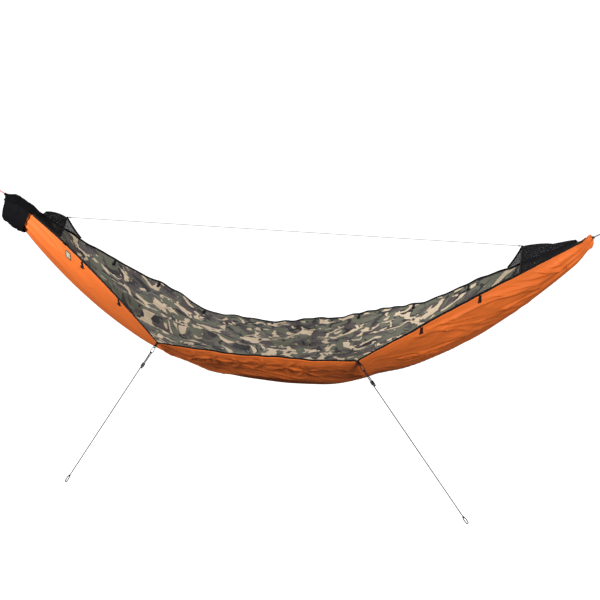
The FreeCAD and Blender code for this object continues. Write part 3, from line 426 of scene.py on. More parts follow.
def floor_paper():
    """White paper, lit a little through from below as on a light table, so that shadows stay faint."""
    grey = (0.3, 0.3, 0.3)
    material, tree, shader = new_material("floor", grey, 0.9, specular=0.1)
    drift = varied(tree, grey, coordinates(tree, "Object"), 1.5, 0.01)
    link(tree, drift, shader.inputs["Base Color"])
    shader.inputs["Emission Color"].default_value = (1, 1, 1, 1)
    shader.inputs["Emission Strength"].default_value = 1.0
    return material


ORANGE = nylon("orange_nylon", (0.60, 0.128, 0.023), 0.55, 0.3, 0.05, 0.5, 0.12)
CAMO = camo_cloth()
TAPE = webbing("black_tape", (0.0045, 0.0045, 0.0050), 0.0014)
STRAP = webbing("black_webbing", (0.0050, 0.0050, 0.0055), 0.002)
NET = net_cloth()
BAG = nylon("black_nylon", (0.0032, 0.0032, 0.0040), 0.75, 0.0, 0.2, 0.7, 0.05)
RED = cord_material("red_cord", (0.62, 0.035, 0.075), (0.72, 0.30, 0.32))
GREY = cord_material("grey_cord", (0.022, 0.022, 0.028), (0.12, 0.12, 0.13))
RIDGE = cord_material("ridge_line", (0.010, 0.010, 0.010), (0.08, 0.08, 0.08))
LINE = cord_material("guy_line", (0.006, 0.006, 0.007), (0.035, 0.035, 0.035))
THREAD = cord_material("whipping", (0.012, 0.012, 0.014))
CLIP = metal("clip_alloy", (0.10, 0.10, 0.108), 0.35)
BLACK_ALLOY = metal("black_alloy", (0.020, 0.020, 0.022), 0.38)
STEEL = metal("pin_steel", (0.48, 0.48, 0.50), 0.3)
PLASTIC = moulded("black_plastic", (0.012, 0.012, 0.012))
LABEL = webbing("label_cloth", (0.360, 0.350, 0.250), 0.0009, 0.85)
LABEL_EDGE = webbing("label_stitching", (0.045, 0.042, 0.033), 0.0007, 0.85)

# the finish of each CAD piece that shows as it is, by the first of these words that its name holds
FINISHES = (
    ("gate_pin", STEEL), ("carabiner", CLIP), ("snap_hook", BLACK_ALLOY), ("d_ring", BLACK_ALLOY),
    ("tensioner", PLASTIC), ("zip", BLACK_ALLOY), ("cord_lock", PLASTIC),
)
for node_name, cad_node in frame["nodes"].items():
    for word, finish in FINISHES:
        if word in node_name:
            for place in cad_node.material_slots:
                place.material = finish
            break


# ---------- the bed's surface, as in part.py
EDGE_RISE = 0.008
NEAR_BOW = {HEAD: 0.049, FOOT: 0.011}
NEAR_BOW_OUT = 0.020
NEAR_SLACK_IN, NEAR_SLACK_DOWN = 0.012, 0.022
NEAR_REACH, NEAR_DROP = 0.580, 0.457
FAR_REACH, FAR_DROP = 0.450, 0.667
FAR_LOW_X, FAR_SHAPE, FAR_REACH_SHAPE = -0.165, {HEAD: 1.74, FOOT: 1.66}, 2.2
SAG_LOW_X, SAG_SHAPE, SAG_AT_GATHER, BED_SAG = -0.054, {HEAD: 2.23, FOOT: 2.29}, 0.050, 0.750
# the real cloth's slack: the far edge sags between its toggles, and the tie-outs draw the bottom up
FAR_DIPS = ((-0.48, 0.11, -0.030), (0.05, 0.10, 0.012), (0.62, 0.15, -0.022))
BOTTOM_LIFTS = ((-0.42, 0.09, 0.024), (0.45, 0.10, 0.026))
GATHER_HALF = 0.018
CLOTH = 0.0006  # thickness that the modelled cloth shows
TAPE_WIDTH = 0.010
LAYERS_APART = 0.0035  # the bed lies this far inside the shell


def at(x, y, z):
    """A point given from the middle of the line between the gathers."""
    return Vector((MID_X + x, y, GATHER_Z + z))


def cord_up(end):
    return Vector((end * cos(HANG), 0, sin(HANG)))


def gather_point(end):
    return at(end * HALF_SPAN, 0, 0)


def falling(x, low_x, shape):
    side = HEAD if x < low_x else FOOT
    share = (x - low_x) / (side * HALF_SPAN - low_x)
    return 1 - abs(share) ** shape[side]


def near_edge(x):
    if abs(x) >= TIE_X:
        share = (HALF_SPAN - abs(x)) / (HALF_SPAN - TIE_X)
        bow = 4 * share * (1 - share)
        y = -(GATHER_HALF + (NEAR_REACH - GATHER_HALF) * share) - NEAR_BOW_OUT * bow
        return y, EDGE_RISE - NEAR_DROP * share + NEAR_BOW[HEAD if x < 0 else FOOT] * bow
    slack = 1 - (x / TIE_X) ** 2
    return -(NEAR_REACH - NEAR_SLACK_IN * slack), EDGE_RISE - NEAR_DROP - NEAR_SLACK_DOWN * slack


def dips(x, places):
    """Soft local changes of height, each of them (middle, reach, rise)."""
    return sum(rise * exp(-(((x - middle) / reach) ** 2)) for middle, reach, rise in places)


def far_edge(x):
    y = GATHER_HALF + (FAR_REACH - GATHER_HALF) * (1 - abs(x / HALF_SPAN) ** FAR_REACH_SHAPE)
    drop = (FAR_DROP + EDGE_RISE) * falling(x, FAR_LOW_X, FAR_SHAPE)
    return y, EDGE_RISE - drop + dips(x, FAR_DIPS)


def bottom(x):
    fall = (BED_SAG - SAG_AT_GATHER) * falling(x, SAG_LOW_X, SAG_SHAPE)
    return 0, -SAG_AT_GATHER - fall + dips(x, BOTTOM_LIFTS)


def section(x):
    """Cross-section arc at x: centre y and z, radius, and its near and far angles from straight down."""
    (ay, az), (by, bz), (cy, cz) = near_edge(x), bottom(x), far_edge(x)
    d = 2 * (ay * (bz - cz) + by * (cz - az) + cy * (az - bz))
    a2, b2, c2 = ay * ay + az * az, by * by + bz * bz, cy * cy + cz * cz
    y = (a2 * (bz - cz) + b2 * (cz - az) + c2 * (az - bz)) / d
    z = (a2 * (cy - by) + b2 * (ay - cy) + c2 * (by - ay)) / d
    radius = hypot(ay - y, az - z)
    return y, z, radius, atan2(ay - y, z - az), atan2(cy - y, z - cz)


def girth(x):
    """Length of the cross-section arc at x, from edge to edge."""
    _, _, radius, near, far = section(x)
    return (far - near) * radius


def smooth(low, high, value):
    t = min(1, max(0, (value - low) / (high - low)))
    return t * t * (3 - 2 * t)


def wobble(*place):
    """Smooth noise from -1 to 1 at up to three coordinates."""
    return noise.noise(Vector((*place, 0, 0)[:3]) + Vector((31.4, 17.2, 5.9)))


def far_wave(x):
    """The slack far edge rises and falls in small waves."""
    calm = smooth(0, 0.25, BED_END - abs(x))
    return calm * (0.012 * wobble(x * 7) + 0.012 * wobble(x * 15, 4))


def near_wave(x):
    calm = smooth(0, 0.2, BED_END - abs(x)) * smooth(0, 0.08, abs(abs(x) - TIE_X))
    slack = 0.35 + 0.65 * smooth(-0.45, -0.2, x)
    return calm * slack * (0.006 * wobble(x * 8, 9) + 0.003 * wobble(x * 21, 2))


def bed_point(x, share, along=0.0, offset=0.0):
    """A point of the bed: share 0 is the near edge and 1 the far edge, along is metres round the
    section from there, and offset is how far it stands outside the shell."""
    y, z, radius, near, far = section(x)
    angle = near + (far - near) * share + along / radius
    r = radius + offset
    lift = far_wave(x) * smooth(0.75, 1, share) + near_wave(x) * smooth(0.2, 0, share)
    return at(x, y + r * sin(angle), z - r * cos(angle) + lift)


# ---------- wrinkles
def pleats(x, share):
    """Folds that fan out from a gather and die away along the bed. Both layers share them."""
    away = BED_END - abs(x)
    side = copysign(1, x)
    wander = 0.4 * wobble(share * 3, side * 2.0, x * 1.5)
    short = 0.0050 * exp(-max(0, away) / 0.13) * cos(tau * (9 * share + wander))
    long = 0.0035 * exp(-max(0, away) / 0.42) * cos(tau * (4.3 * share + wander) + 1.3)
    return short + long


def turned(p, q, turn):
    return p * cos(turn) + q * sin(turn), q * cos(turn) - p * sin(turn)


def crumple(p, q, long, wide, seed, turn):
    """Thin raised creases between the cells of a stretched cell pattern, 0 to 1."""
    a, b = turned(p, q, turn)
    near = noise.voronoi(Vector((a / long, b / wide, seed)))[0]
    return max(0.0, 1 - (near[1] - near[0]) / 0.30) ** 1.5


def creases(p, q, long, wide, seed, turn):
    """Long thin creases in one direction, 0 to 1."""
    a, b = turned(p, q, turn)
    field = noise.noise(Vector((a / long, b / wide, seed)))
    mask = smooth(-0.15, 0.25, noise.noise(Vector((a / long / 1.7 + 8, b / wide / 2.5, seed + 4))))
    return max(0.0, 1 - abs(field) / 0.10) ** 1.3 * mask


def fold(p, q, start, end, depth, width):
    """A single fold from start to end in cloth coordinates: a roll, steep on its lower side."""
    dx, dy = end[0] - start[0], end[1] - start[1]
    length = hypot(dx, dy)
    along = ((p - start[0]) * dx + (q - start[1]) * dy) / length
    across = ((q - start[1]) * dx - (p - start[0]) * dy) / length
    across -= 0.012 * wobble(along * 6, start[0], depth * 90)
    if not -0.05 < along < length + 0.05 or abs(across) > 6 * width:
        return 0.0
    fade = smooth(-0.05, 0.3 * length, along) * smooth(length + 0.05, 0.7 * length, along)
    s = across / width / (2.4 if across > 0 else 0.55)
    return depth * fade * exp(-s * s)


# lengthwise folds in the slack inner bed: (from, to) as x and metres from the near edge, depth, width
BED_FOLDS = (
    ((-0.90, 0.59), (-0.38, 0.81), 0.046, 0.019),
    ((-1.12, 0.47), (-0.76, 0.66), 0.036, 0.018),
    ((-1.06, 0.53), (-0.78, 0.72), 0.026, 0.016),
    ((-0.62, 0.76), (-0.10, 0.86), 0.022, 0.018),
    ((-0.80, 0.76), (-0.45, 0.90), 0.016, 0.016),
    ((-0.30, 0.95), (0.40, 0.90), 0.012, 0.020),
    ((0.30, 0.80), (0.86, 0.62), 0.018, 0.018),
    ((0.62, 0.60), (1.04, 0.44), 0.016, 0.016),
)
UNDER_FOLD = 0.215  # how far the shell's long fold runs from the near edge
UNDER_BEND = 1.1  # and how it comes down towards its ends
PUCKERS = ((-0.28, 0.075), (-0.20, 0.055), (-0.09, 0.07), (0.02, 0.06), (0.12, 0.08), (0.20, 0.10))


def shell_relief(x, q, width):
    """How far the outer shell stands out from its smooth form."""
    right = smooth(0.25, 0.60, x)
    left = smooth(-0.35, -0.60, x)
    middle = 1 - right - left
    high = smooth(0.38, 0.18, q / width)  # the near side shows its creases most
    out = 0.0015 + (0.0030 + 0.0040 * right) * abs(wobble(x * 3.1, q * 7.0))
    out += (0.0006 * left + 0.0020 * middle * high + 0.0016 * right) * crumple(x, q, 0.11, 0.06, 3.0, 0.5)
    out += (0.0012 * left + 0.0040 * middle + 0.0140 * right) * creases(x, q, 0.36, 0.062, 7.0, 0.30)
    out += (0.0006 * left + 0.0016 * middle + 0.0075 * right) * creases(x, q, 0.15, 0.036, 12.0, 0.50)
    out += 0.0040 * left * creases(x, q, 0.5, 0.09, 21.0, 0.12)
    # puckers draw in to points just under the edge of the middle
    for x_at, q_at in PUCKERS:
        dx, dy = x - x_at, q - q_at
        away = hypot(dx, dy)
        if away < 0.11:
            rays = cos(5 * atan2(dy, dx) + 40 * x_at)
            out += 0.0050 * smooth(0.11, 0.02, away) * max(0.0, rays) ** 5 * smooth(0.0, 0.02, away)
    out *= 0.2 + 0.8 * high
    # the long fold under the bed: the cloth swells out to a lip, tucks in under it and steps out again
    low = UNDER_FOLD + 0.010 * wobble(x * 4, 7.7) + UNDER_BEND * (x - 0.06) ** 2
    run = smooth(-0.52, -0.12, x) * smooth(0.58, 0.28, x)
    past = q - low
    swell = 0.009 * smooth(-0.10, -0.006, past) - 0.019 * smooth(0.0, 0.012, past)
    swell += 0.018 * smooth(0.100, 0.150, past) - 0.008 * smooth(0.20, 0.32, past)
    return out + run * swell


def bed_relief(x, q):
    """How far the inner bed stands in from the shell."""
    slack = smooth(0, 0.15, BED_END - abs(x))
    left = smooth(0.1, -0.4, x)
    rise = 0.0015 + 0.006 * abs(wobble(x * 2.6, q * 6.0, 3))
    rise += 0.0040 * crumple(x, q, 0.14, 0.06, 15.0, 0.3) * slack
    rise += (0.0065 + 0.0080 * left) * creases(x, q, 0.34, 0.05, 17.0, 0.18 if x < 0 else -0.15) * slack
    for start, end, depth, width in BED_FOLDS:
        rise += fold(x, q, start, end, depth, width)
    tuck = UNDER_FOLD + UNDER_BEND * (x - 0.06) ** 2 + 0.05
    rise += 0.014 * exp(-(((q - tuck) / 0.09) ** 4)) * smooth(0.56, 0.36, abs(x - 0.04))
    return max(0.0008, rise)


def edge_fade(q, width):
    """Wrinkles die away into the taped edges."""
    return smooth(0, 0.045, q) * smooth(0, 0.045, width - q)


def shell_point(x, share, proud=0.0):
    """A point of the wrinkled outer shell, or one that stands proud of it."""
    width = girth(x)
    fade = edge_fade(share * width, width)
    relief = (pleats(x, share) + shell_relief(x, share * width, width)) * fade
    return bed_point(x, share, 0, relief + proud)


def bed_layer_point(x, share, proud=0.0):
    """A point of the wrinkled inner bed, or one that stands proud of it towards the sleeper."""
    width = girth(x)
    fade = edge_fade(share * width, width)
    relief = pleats(x, share) * fade - LAYERS_APART - bed_relief(x, share * width) * fade
    return bed_point(x, share, 0, relief - proud)


# ---------- gathered ends
BULGE, TIP = 0.025, 0.012  # radii of the bunched cloth and of its drawn hem
BULGE_BACK, BULGE_DROP = 0.022, 0.024
BULGE_RISE = {HEAD: 0.002, FOOT: 0.013}
HEM = 0.066  # cloth past the bed's end
BULGE_AT, DRAWN_AT = 0.58, 0.92  # shares of that cloth: the thickest of the bunch, and the drawn hem
THROAT_RADIUS = 0.0040


def cord_axes(end):
    """Tip of a gather, the way its cord leaves, and the way up across that cord."""
    return gather_point(end), cord_up(end), Vector((-end * sin(HANG), 0, cos(HANG)))


def gathered(end, part, share, inner):
    """The bunched cloth past the bed: part 0 is the bed's own section and 1 where it meets the cord."""
    tip, out, up = cord_axes(end)
    bend = min(1.0, max(0.0, (part - BULGE_AT) / (DRAWN_AT - BULGE_AT))) * pi / 2
    drawn = smooth(DRAWN_AT - 0.02, 1, part)
    pull = smooth(0, BULGE_AT, part)
    spread = 250 + 98 * smooth(0.0, 0.7, part)
    angle = radians(-90 + spread * (share - 0.5))
    radius = TIP + (BULGE - TIP) * cos(bend) - (LAYERS_APART if inner else 0)
    depth = 0.0034 * pull * (1 - 0.5 * drawn)
    radius += depth * (cos(tau * 10 * share + end) - 0.6)
    radius += 0.0020 * wobble(share * 12, end, 1) * pull
    radius += (THROAT_RADIUS - (0.001 if inner else 0) - radius) * drawn
    back = 1 - sin(bend)
    centre = tip - out * (BULGE_BACK * back) - up * (BULGE_DROP * back)
    centre += up * (BULGE_RISE[end] * sin(pi * min(1, part / 0.75)))
    centre += out * (0.0030 * sin(tau * 5 * share + end) * smooth(0.7, 0.9, part) * (1 - drawn))
    bunched = centre + SIDE * (radius * cos(angle)) + up * (radius * sin(angle))
    if part >= BULGE_AT:
        return bunched
    layer = bed_layer_point if inner else shell_point
    return layer(end * BED_END, share).lerp(bunched, smooth(0, 1, (part / BULGE_AT) ** 0.65))


def row_share(t, close):
    """Rows of the mesh stand closest together at the share where the layer has its finest folds."""
    return t - 0.07 * (sin(tau * (t - close)) + sin(tau * close))


def bed_sheet(name, material, inner, columns=400, rows=120):
    """One layer of the bed, from hem to hem through both gathers: the sheet, its flat size and area."""
    points, uv, widths = [], [], []
    layer = bed_layer_point if inner else shell_point
    stations = np.linspace(-BED_END - HEM, BED_END + HEM, columns)
    for s in stations:
        x = max(-BED_END, min(BED_END, s))
        beyond = abs(s) - BED_END
        width = girth(x)
        widths.append(width)
        for j in range(rows):
            share = row_share(j / (rows - 1), 0.68 if inner else 0.22)
            if beyond > 0:
                points.append(gathered(copysign(1, s), beyond / HEM, share, inner))
            else:
                points.append(layer(x, share))
            uv.append((s, (share - 0.5) * width))
    sheet = add_mesh(name, points, grid_faces(columns, rows), material, uv)
    area = float(np.sum(np.array(widths)) * (stations[1] - stations[0]))
    return thicken(sheet, CLOTH), (max(widths), 2 * (BED_END + HEM)), area


shell, shell_flat, shell_area = bed_sheet("outer_shell_cloth", ORANGE, False)
dress(shell, "hammock", "orange_nylon", "outer_shell", "head_gather", "foot_gather")
bed, bed_flat, bed_area = bed_sheet("inner_bed_cloth", CAMO, True)
dress(bed, "hammock", "camo_nylon", "inner_bed")


# ---------- zip tapes
TAPE_THICK = 0.0046
COIL_STEP = 0.0011
COIL_RADII = 0.0013, 0.0008


def tape_line(share, along, step, reach=BED_END):
    count = round(2 * reach / step)
    return [bed_point(-reach + 2 * reach * i / count, share, along, -0.002) for i in range(count + 1)]


def make_tape(name, share, toward):
    """Folded tape over both cloths' edges, with the zip's coil along its outer side."""
    middle = tape_line(share, -toward * TAPE_WIDTH * 0.45, 0.006)

    def inward(i):
        angle = section(-BED_END + 2 * BED_END * i / (len(middle) - 1))[3 if share == 0 else 4]
        return Vector((0, -sin(angle), cos(angle)))

    def outline(i):
        puff = 1 + 0.10 * wobble(i * 0.31, share)
        return [(a * puff, b) for a, b in rounded_strip(TAPE_WIDTH, TAPE_THICK)]

    strip = sweep(middle, outline, inward)
    coil_line = tape_line(share, -toward * (TAPE_WIDTH - 0.0002), COIL_STEP, BED_END - 0.012)
    teeth = [ring(radius, 6) for radius in COIL_RADII]
    coil = sweep(coil_line, lambda i: teeth[i // 2 % 2], UP)
    points, faces = joined([strip, coil])
    return add_mesh(name, points, faces, TAPE)


dress(make_tape("near_zip_tape_sewn", 0, 1), "hammock", "black_tape", "near_zip_tape")
dress(make_tape("far_zip_tape_sewn", 1, -1), "hammock", "black_tape", "far_zip_tape")


# ---------- net hoods
HOOD_START = 0.006
HOOD_MOUTH = {HEAD: (-1.012, -1.092), FOOT: (1.062, 0.998)}  # near and far foot of a hood's mouth
HOOD_TOP_LIFT = 0.010
PEAK_OUT = {HEAD: 1.081, FOOT: 1.062}
PEAK_DROP = {HEAD: 0.071, FOOT: 0.057}
HOOD_SHAPE = {HEAD: 0.9, FOOT: 1.3}  # how its top comes down from the gather to the peak
HOOD_CROWN = {HEAD: 0.016, FOOT: 0.010}  # how far it swells up just behind its mouth
HOOD_PRESS = {HEAD: 0.020, FOOT: 0.0}  # how far the stuff sack presses it down
BINDING_WIDTH, BINDING_THICK = 0.008, 0.003


def peak(end):
    return at(end * PEAK_OUT[end], 0, -PEAK_DROP[end])


def hood_section(end, share):
    """Near foot, top and far foot of the net at a share of the way from the gather to the mouth."""
    start = end * (BED_END - HOOD_START)

    def feet(part):
        near_x, far_x = (start + (mouth - start) * part for mouth in HOOD_MOUTH[end])
        reach = TAPE_WIDTH + 0.0006
        near, far = bed_point(near_x, 0, -reach, -0.002), bed_point(far_x, 1, reach, -0.002)
        return near, far, near.lerp(far, -near.y / (far.y - near.y)).z

    near, far, low = feet(share)
    from_z = feet(0)[2] + HOOD_TOP_LIFT
    fall = sin(min(share, 1) * pi / 2) ** HOOD_SHAPE[end]
    crown = HOOD_CROWN[end] * sin(pi * max(0, min(1, share) - 0.45) / 0.55) ** 0.7
    pressed = HOOD_PRESS[end] * sin(pi * min(1, share / 0.5))
    z = max(from_z + (peak(end).z - from_z) * fall - pressed, low + HOOD_TOP_LIFT) + crown
    x = at(start, 0, 0).x * (1 - share) + peak(end).x * share
    return near, Vector((x, 0, z)), far


def hood_point(end, share, across):
    """A point of the net; across runs from -1 at its near foot over 0 at its top to 1 at its far foot."""
    near, top, far = hood_section(end, share)
    round_top = 0.03 + 0.25 * (1 - min(1, share))
    part = (hypot(across, round_top) - round_top) / (hypot(1, round_top) - round_top)
    foot = near if across < 0 else far
    point = top.lerp(foot, part)
    loose = sin(pi * part)
    taut = 1 - smooth(0.75, 1, share)
    billow = wobble(part * 6, share * 2.2, end + across / abs(across or 1))
    point.z -= loose * (0.006 * share + 0.0035 * taut * billow)
    point.z -= 0.0022 * loose * taut * cos(tau * (5.5 * part - 0.8 * share))
    return point


def make_hood(end, rows=64, columns=73):
    name = END_NAME[end]
    points, uv = [], []
    shares = np.linspace(0, 1, rows)
    length = (hood_section(end, 1)[1] - hood_section(end, 0)[1]).length
    for share in shares:
        near, top, far = hood_section(end, share)
        near_run, far_run = (near - top).length, (far - top).length
        for across in np.linspace(-1, 1, columns):
            points.append(hood_point(end, share, across))
            uv.append((share * length, across * (near_run if across < 0 else far_run)))
    net = add_mesh(f"{name}_hood_net", points, grid_faces(rows, columns), NET, uv)
    thicken(net, 0.0003)
    dress(net, "hammock", "black_net", f"{name}_net_hood")

    near, top, far = hood_section(end, 1)
    ahead = (near - top).cross(far - top).normalized()
    if ahead.x * end > 0:
        ahead = -ahead
    line = [hood_point(end, 1, across) + ahead * BINDING_WIDTH / 2 for across in np.linspace(-1, 1, 61)]
    edge = rounded_strip(BINDING_WIDTH, BINDING_THICK)
    strip = sweep(line, edge, lambda i: heading(line, i).cross(ahead))
    binding = add_mesh(f"{name}_mouth_binding", *strip, TAPE)
    dress(binding, "hammock", "black_tape", f"{name}_hood_binding")


for end in (HEAD, FOOT):
    make_hood(end)


# ---------- knots
def trefoil(centre, axis, radius, thread, steps=48):
    """An overhand knot pulled tight: a trefoil of the cord."""
    turn = placed(centre, axis, SIDE if abs(Vector(axis).normalized().y) < 0.9 else UP)
    size = (radius - thread / 2) / 3
    line = []
    for k in range(steps):
        a = tau * k / steps
        wide = 2 + cos(3 * a)
        line.append(turn @ Vector((1.5 * size * sin(3 * a), size * wide * cos(2 * a),
                                   size * wide * sin(2 * a))))
    return sweep(line, ring(thread / 2, 8), Vector((0.31, 0.52, 0.79)), closed=True)


def knots(name, ties, material):
    """Overhand knots as one piece; ties hold (centre, axis, radius, thread)."""
    return add_mesh(name, *joined([trefoil(*tie) for tie in ties]), material)


# ---------- ridge cord between the hoods' peaks
RIDGE_CORD, RIDGE_KNOT = 0.002, 0.004
RIDGE_INSET = BINDING_WIDTH + 0.012
ridge_way = (peak(FOOT) - peak(HEAD)).normalized()
ridge_from = peak(HEAD) + ridge_way * RIDGE_INSET
ridge_to = peak(FOOT) - ridge_way * RIDGE_INSET
ridge_route = [ridge_from, ridge_from.lerp(ridge_to, 0.33), ridge_from.lerp(ridge_to, 0.67), ridge_to]
ridge, ridge_path = braided("ridge_cord_braid", ridge_route, RIDGE_CORD, RIDGE, 0.0015, around=10)
dress(ridge, "hammock", "ridge_line", "ridge_cord")
ridge_knots = knots(
    "ridge_cord_knots", [(spot, ridge_way, RIDGE_KNOT, RIDGE_CORD) for spot in (ridge_from, ridge_to)], RIDGE
)
dress(ridge_knots, "hammock", "ridge_line", "ridge_knots")


def peak_tab(top, centre):
    """Webbing from a hood's peak that narrows into the ridge cord's knot."""
    away = (centre - top).normalized()
    start = top + away * BINDING_WIDTH * 0.8
    finish = centre - away * RIDGE_KNOT * 0.5
    line = [start.lerp(finish, k / 6) for k in range(7)]
    return sweep(line, lambda i: rounded_strip(0.012 - 0.0009 * i, 0.0018), UP)


both_tabs = joined([peak_tab(peak(HEAD), ridge_from), peak_tab(peak(FOOT), ridge_to)])
tabs = add_mesh("peak_webbing_tabs", *both_tabs, STRAP)
dress(tabs, "hammock", "black_webbing", "peak_tabs")


# ---------- suspension cords
SUSPENSION_CORD = 0.005
SUSPENSION_RUN = 0.150  # from the carabiner's rod to the gather
# from the gather, round the carabiner's rod at the origin and back into the whipping
SUSPENSION_ROUTE = (
    (0.150, 0), (0.096, 0), (0.046, 0), (0.022, 0.0065), (-0.0074, 0.0087), (-0.0074, -0.0087),
    (0.022, -0.0078), (0.046, -0.0056), (0.0672, -0.0056),
)
WHIP_FROM, WHIP_TO = 0.0502, 0.0682
WHIP_STEP, WHIP_SIDES = 0.0005, 24  # half a turn of its thread, and the points round it
STRANDS_APART = 0.0056
HITCH_TURNS, HITCH_RISE, HITCH_RADIUS = 2, 0.0042, 0.0048


def whipping(place):
    """Thread wound round both strands, one turn beside the next."""
    steps = round((WHIP_TO - WHIP_FROM) / WHIP_STEP)
    half = STRANDS_APART / 2
    points = []
    for i in range(steps + 1):
        x = WHIP_FROM + (WHIP_TO - WHIP_FROM) * i / steps
        r = SUSPENSION_CORD / 2 + (0.0012 if i % 2 else 0.0007) * (0.4 if i in (0, steps) else 1)
        for k in range(WHIP_SIDES):
            a = tau * k / WHIP_SIDES
            shift = half if sin(a) >= 0 else -half
            points.append(place @ Vector((x, r * sin(a) + shift - half, r * cos(a))))
    faces = grid_faces(steps + 1, WHIP_SIDES, closed=True)
    faces.append(tuple(range(WHIP_SIDES)))
    faces.append(tuple(steps * WHIP_SIDES + k for k in reversed(range(WHIP_SIDES))))
    return points, faces


def make_suspension(end):
    name = END_NAME[end]
    slot, material = ("red_cord", RED) if end == HEAD else ("grey_cord", GREY)
    tip, out, up = cord_axes(end)
    place = placed(tip + out * SUSPENSION_RUN, -out, SIDE)
    route = [place @ Vector((x, y, 0)) for x, y in SUSPENSION_ROUTE]
    cord, path = braided(f"{name}_suspension_braid", route, SUSPENSION_CORD, material, 0.0009)
    dress(cord, "hammock", slot, f"{name}_suspension_cord")
    wound = add_mesh(f"{name}_whipping_thread", *whipping(place), THREAD)
    dress(wound, "hammock", "whipping", f"{name}_cord_whipping")
    # the hitch is two turns of the cord round itself against the drawn hem
    each = 12
    hitch = []
    for k in range(HITCH_TURNS * each + 1):
        a = tau * k / each
        middle = tip + out * (0.0016 + HITCH_RISE * k / each)
        hitch.append(middle + SIDE * (HITCH_RADIUS * cos(a)) + up * (HITCH_RADIUS * sin(a)))
    wrap, _ = braided(f"{name}_hitch_turns", hitch, 0.004, material, 0.0009, around=16)
    dress(wrap, "hammock", slot, f"{name}_gather_hitch")


for end in (HEAD, FOOT):
    make_suspension(end)


# ---------- tie-outs and guy lines
JOINTS = {joint["name"]: joint for joint in frame["joints"]}
TO_HOOK_END = 0.00745 + 0.0276  # from the ring's bar to where the line bears in the hook
GUY_CORD = 0.004
GUY_RETURN = 0.074
STRAND = 0.0039  # each strand's distance from the middle of the tensioner
# doubled end of a guy line, from its tail round the hook's rod
GUY_TURN = (
    (GUY_RETURN, -STRAND), (0.048, -STRAND), (0.022, -STRAND), (0.008, -0.0042), (-0.0040, -0.0046),
    (-0.0040, 0.0046), (0.008, 0.0042), (0.022, STRAND), (0.048, STRAND), (GUY_RETURN, STRAND),
)
PEG_LOOP = (
    (0.0012, -0.004), (0.0012, 0.004), (0.008, 0.0066), (0.015, 0.0061), (0.022, 0.0066),
    (0.0284, 0.004), (0.0284, -0.004), (0.022, -0.0066), (0.015, -0.0061), (0.008, -0.0066),
)
TAB_FOLD = (
    (-0.0185, 0.0006), (-0.012, 0.0009), (-0.005, 0.0012), (-0.0015, 0.0026), (0.0026, 0.0026),
    (0.0026, -0.0026), (-0.0015, -0.0026), (-0.005, -0.0012), (-0.012, -0.0009), (-0.0185, -0.0006),
)
PEG_LOOP_REACH = 0.022  # from the line's end to the middle of the loop's far bend


STITCH, STITCH_THREAD = 0.0028, 0.0004


def stitches(place, rows):
    """Short raised stitches at places (x, y, z, turn) on a face of webbing."""
    parts = []
    for x, y, z, turn in rows:
        half = Vector((cos(turn), sin(turn), 0)) * STITCH / 2
        spot = Vector((x, y, z))
        raised = Vector((0, 0, copysign(STITCH_THREAD * 0.6, z)))
        line = [place @ (spot + move) for move in (-half, raised, half)]
        parts.append(sweep(line, ring(STITCH_THREAD / 2, 5), Vector((0.2, 0.3, 0.93))))
    return parts


def make_guy(end):
    name = END_NAME[end]
    body = f"{name}_guy"
    swing, slide = JOINTS[f"{name}_guy_swing"], JOINTS[f"{name}_tensioner_slide"]
    bar, across, pull = Vector(swing["pos_m"]), Vector(swing["axis"]), Vector(slide["axis"])
    place = placed(bar, pull, across)

    # webbing tab, folded round the ring's bar and sewn into the tape
    line = spline_line([place @ Vector((x, 0, z)) for x, z in TAB_FOLD], 0.0007)
    side = (place.to_3x3() @ SIDE).normalized()
    strap = sweep(line, rounded_strip(0.012, 0.0010), lambda i: side.cross(heading(line, i)))
    rows = []
    for face in (-1, 1):
        for y in (-0.0042, 0.0042):
            rows += [(x, y, face * 0.0016, 0) for x in (-0.0145, -0.0108, -0.0071)]
        rows += [(-0.0130, y, face * 0.0016, 0.9) for y in (-0.002, 0.002)]
        rows += [(-0.0090, y, face * 0.0016, -0.9) for y in (-0.002, 0.002)]
    tie = add_mesh(f"{name}_tie_out_webbing", *joined([strap] + stitches(place, rows)), STRAP)
    dress(tie, "hammock", "black_webbing", f"{name}_tie_out")

    hook_end = bar + pull * TO_HOOK_END
    here = placed(hook_end, pull, across)
    run = (Vector(MOUNTS[f"{name}_peg"]) - hook_end).dot(pull) - PEG_LOOP_REACH
    route = [here @ Vector((x, y, 0)) for x, y in GUY_TURN + ((run - 0.03, STRAND), (run, STRAND))]
    cord, path = braided(f"{name}_guy_braid", route, GUY_CORD, LINE, 0.0012, around=10)
    dress(cord, body, "guy_line", f"{name}_guy_line")
    loop_route = [here @ Vector((run + x, STRAND + y, 0)) for x, y in PEG_LOOP]
    loop, _ = braided(f"{name}_peg_loop_braid", loop_route, GUY_CORD, LINE, 0.0010, closed=True, around=10)
    dress(loop, body, "guy_line", f"{name}_peg_loop")
    ties = ((here @ Vector((run, STRAND, 0)), pull, 0.0056, GUY_CORD),
            (here @ Vector((GUY_RETURN, -STRAND, 0)), pull, 0.0048, GUY_CORD))
    tied = knots(f"{name}_guy_line_knots", ties, LINE)
    dress(tied, body, "guy_line", f"{name}_guy_knots")


for end in (HEAD, FOOT):
    make_guy(end)


# ---------- net toggles and label
NEAR_TOGGLES = (-0.869, -0.653, 0.678, 0.904)
FAR_TOGGLES = (-0.938, -0.736, -0.515, 0.276, 0.551, 0.816)
TOGGLE_LENGTH, TOGGLE_RADIUS = 0.018, 0.003
LOOP_WIDTH, LOOP_THICK = 0.013, 0.0014
LOOP_PROUD = 0.0025


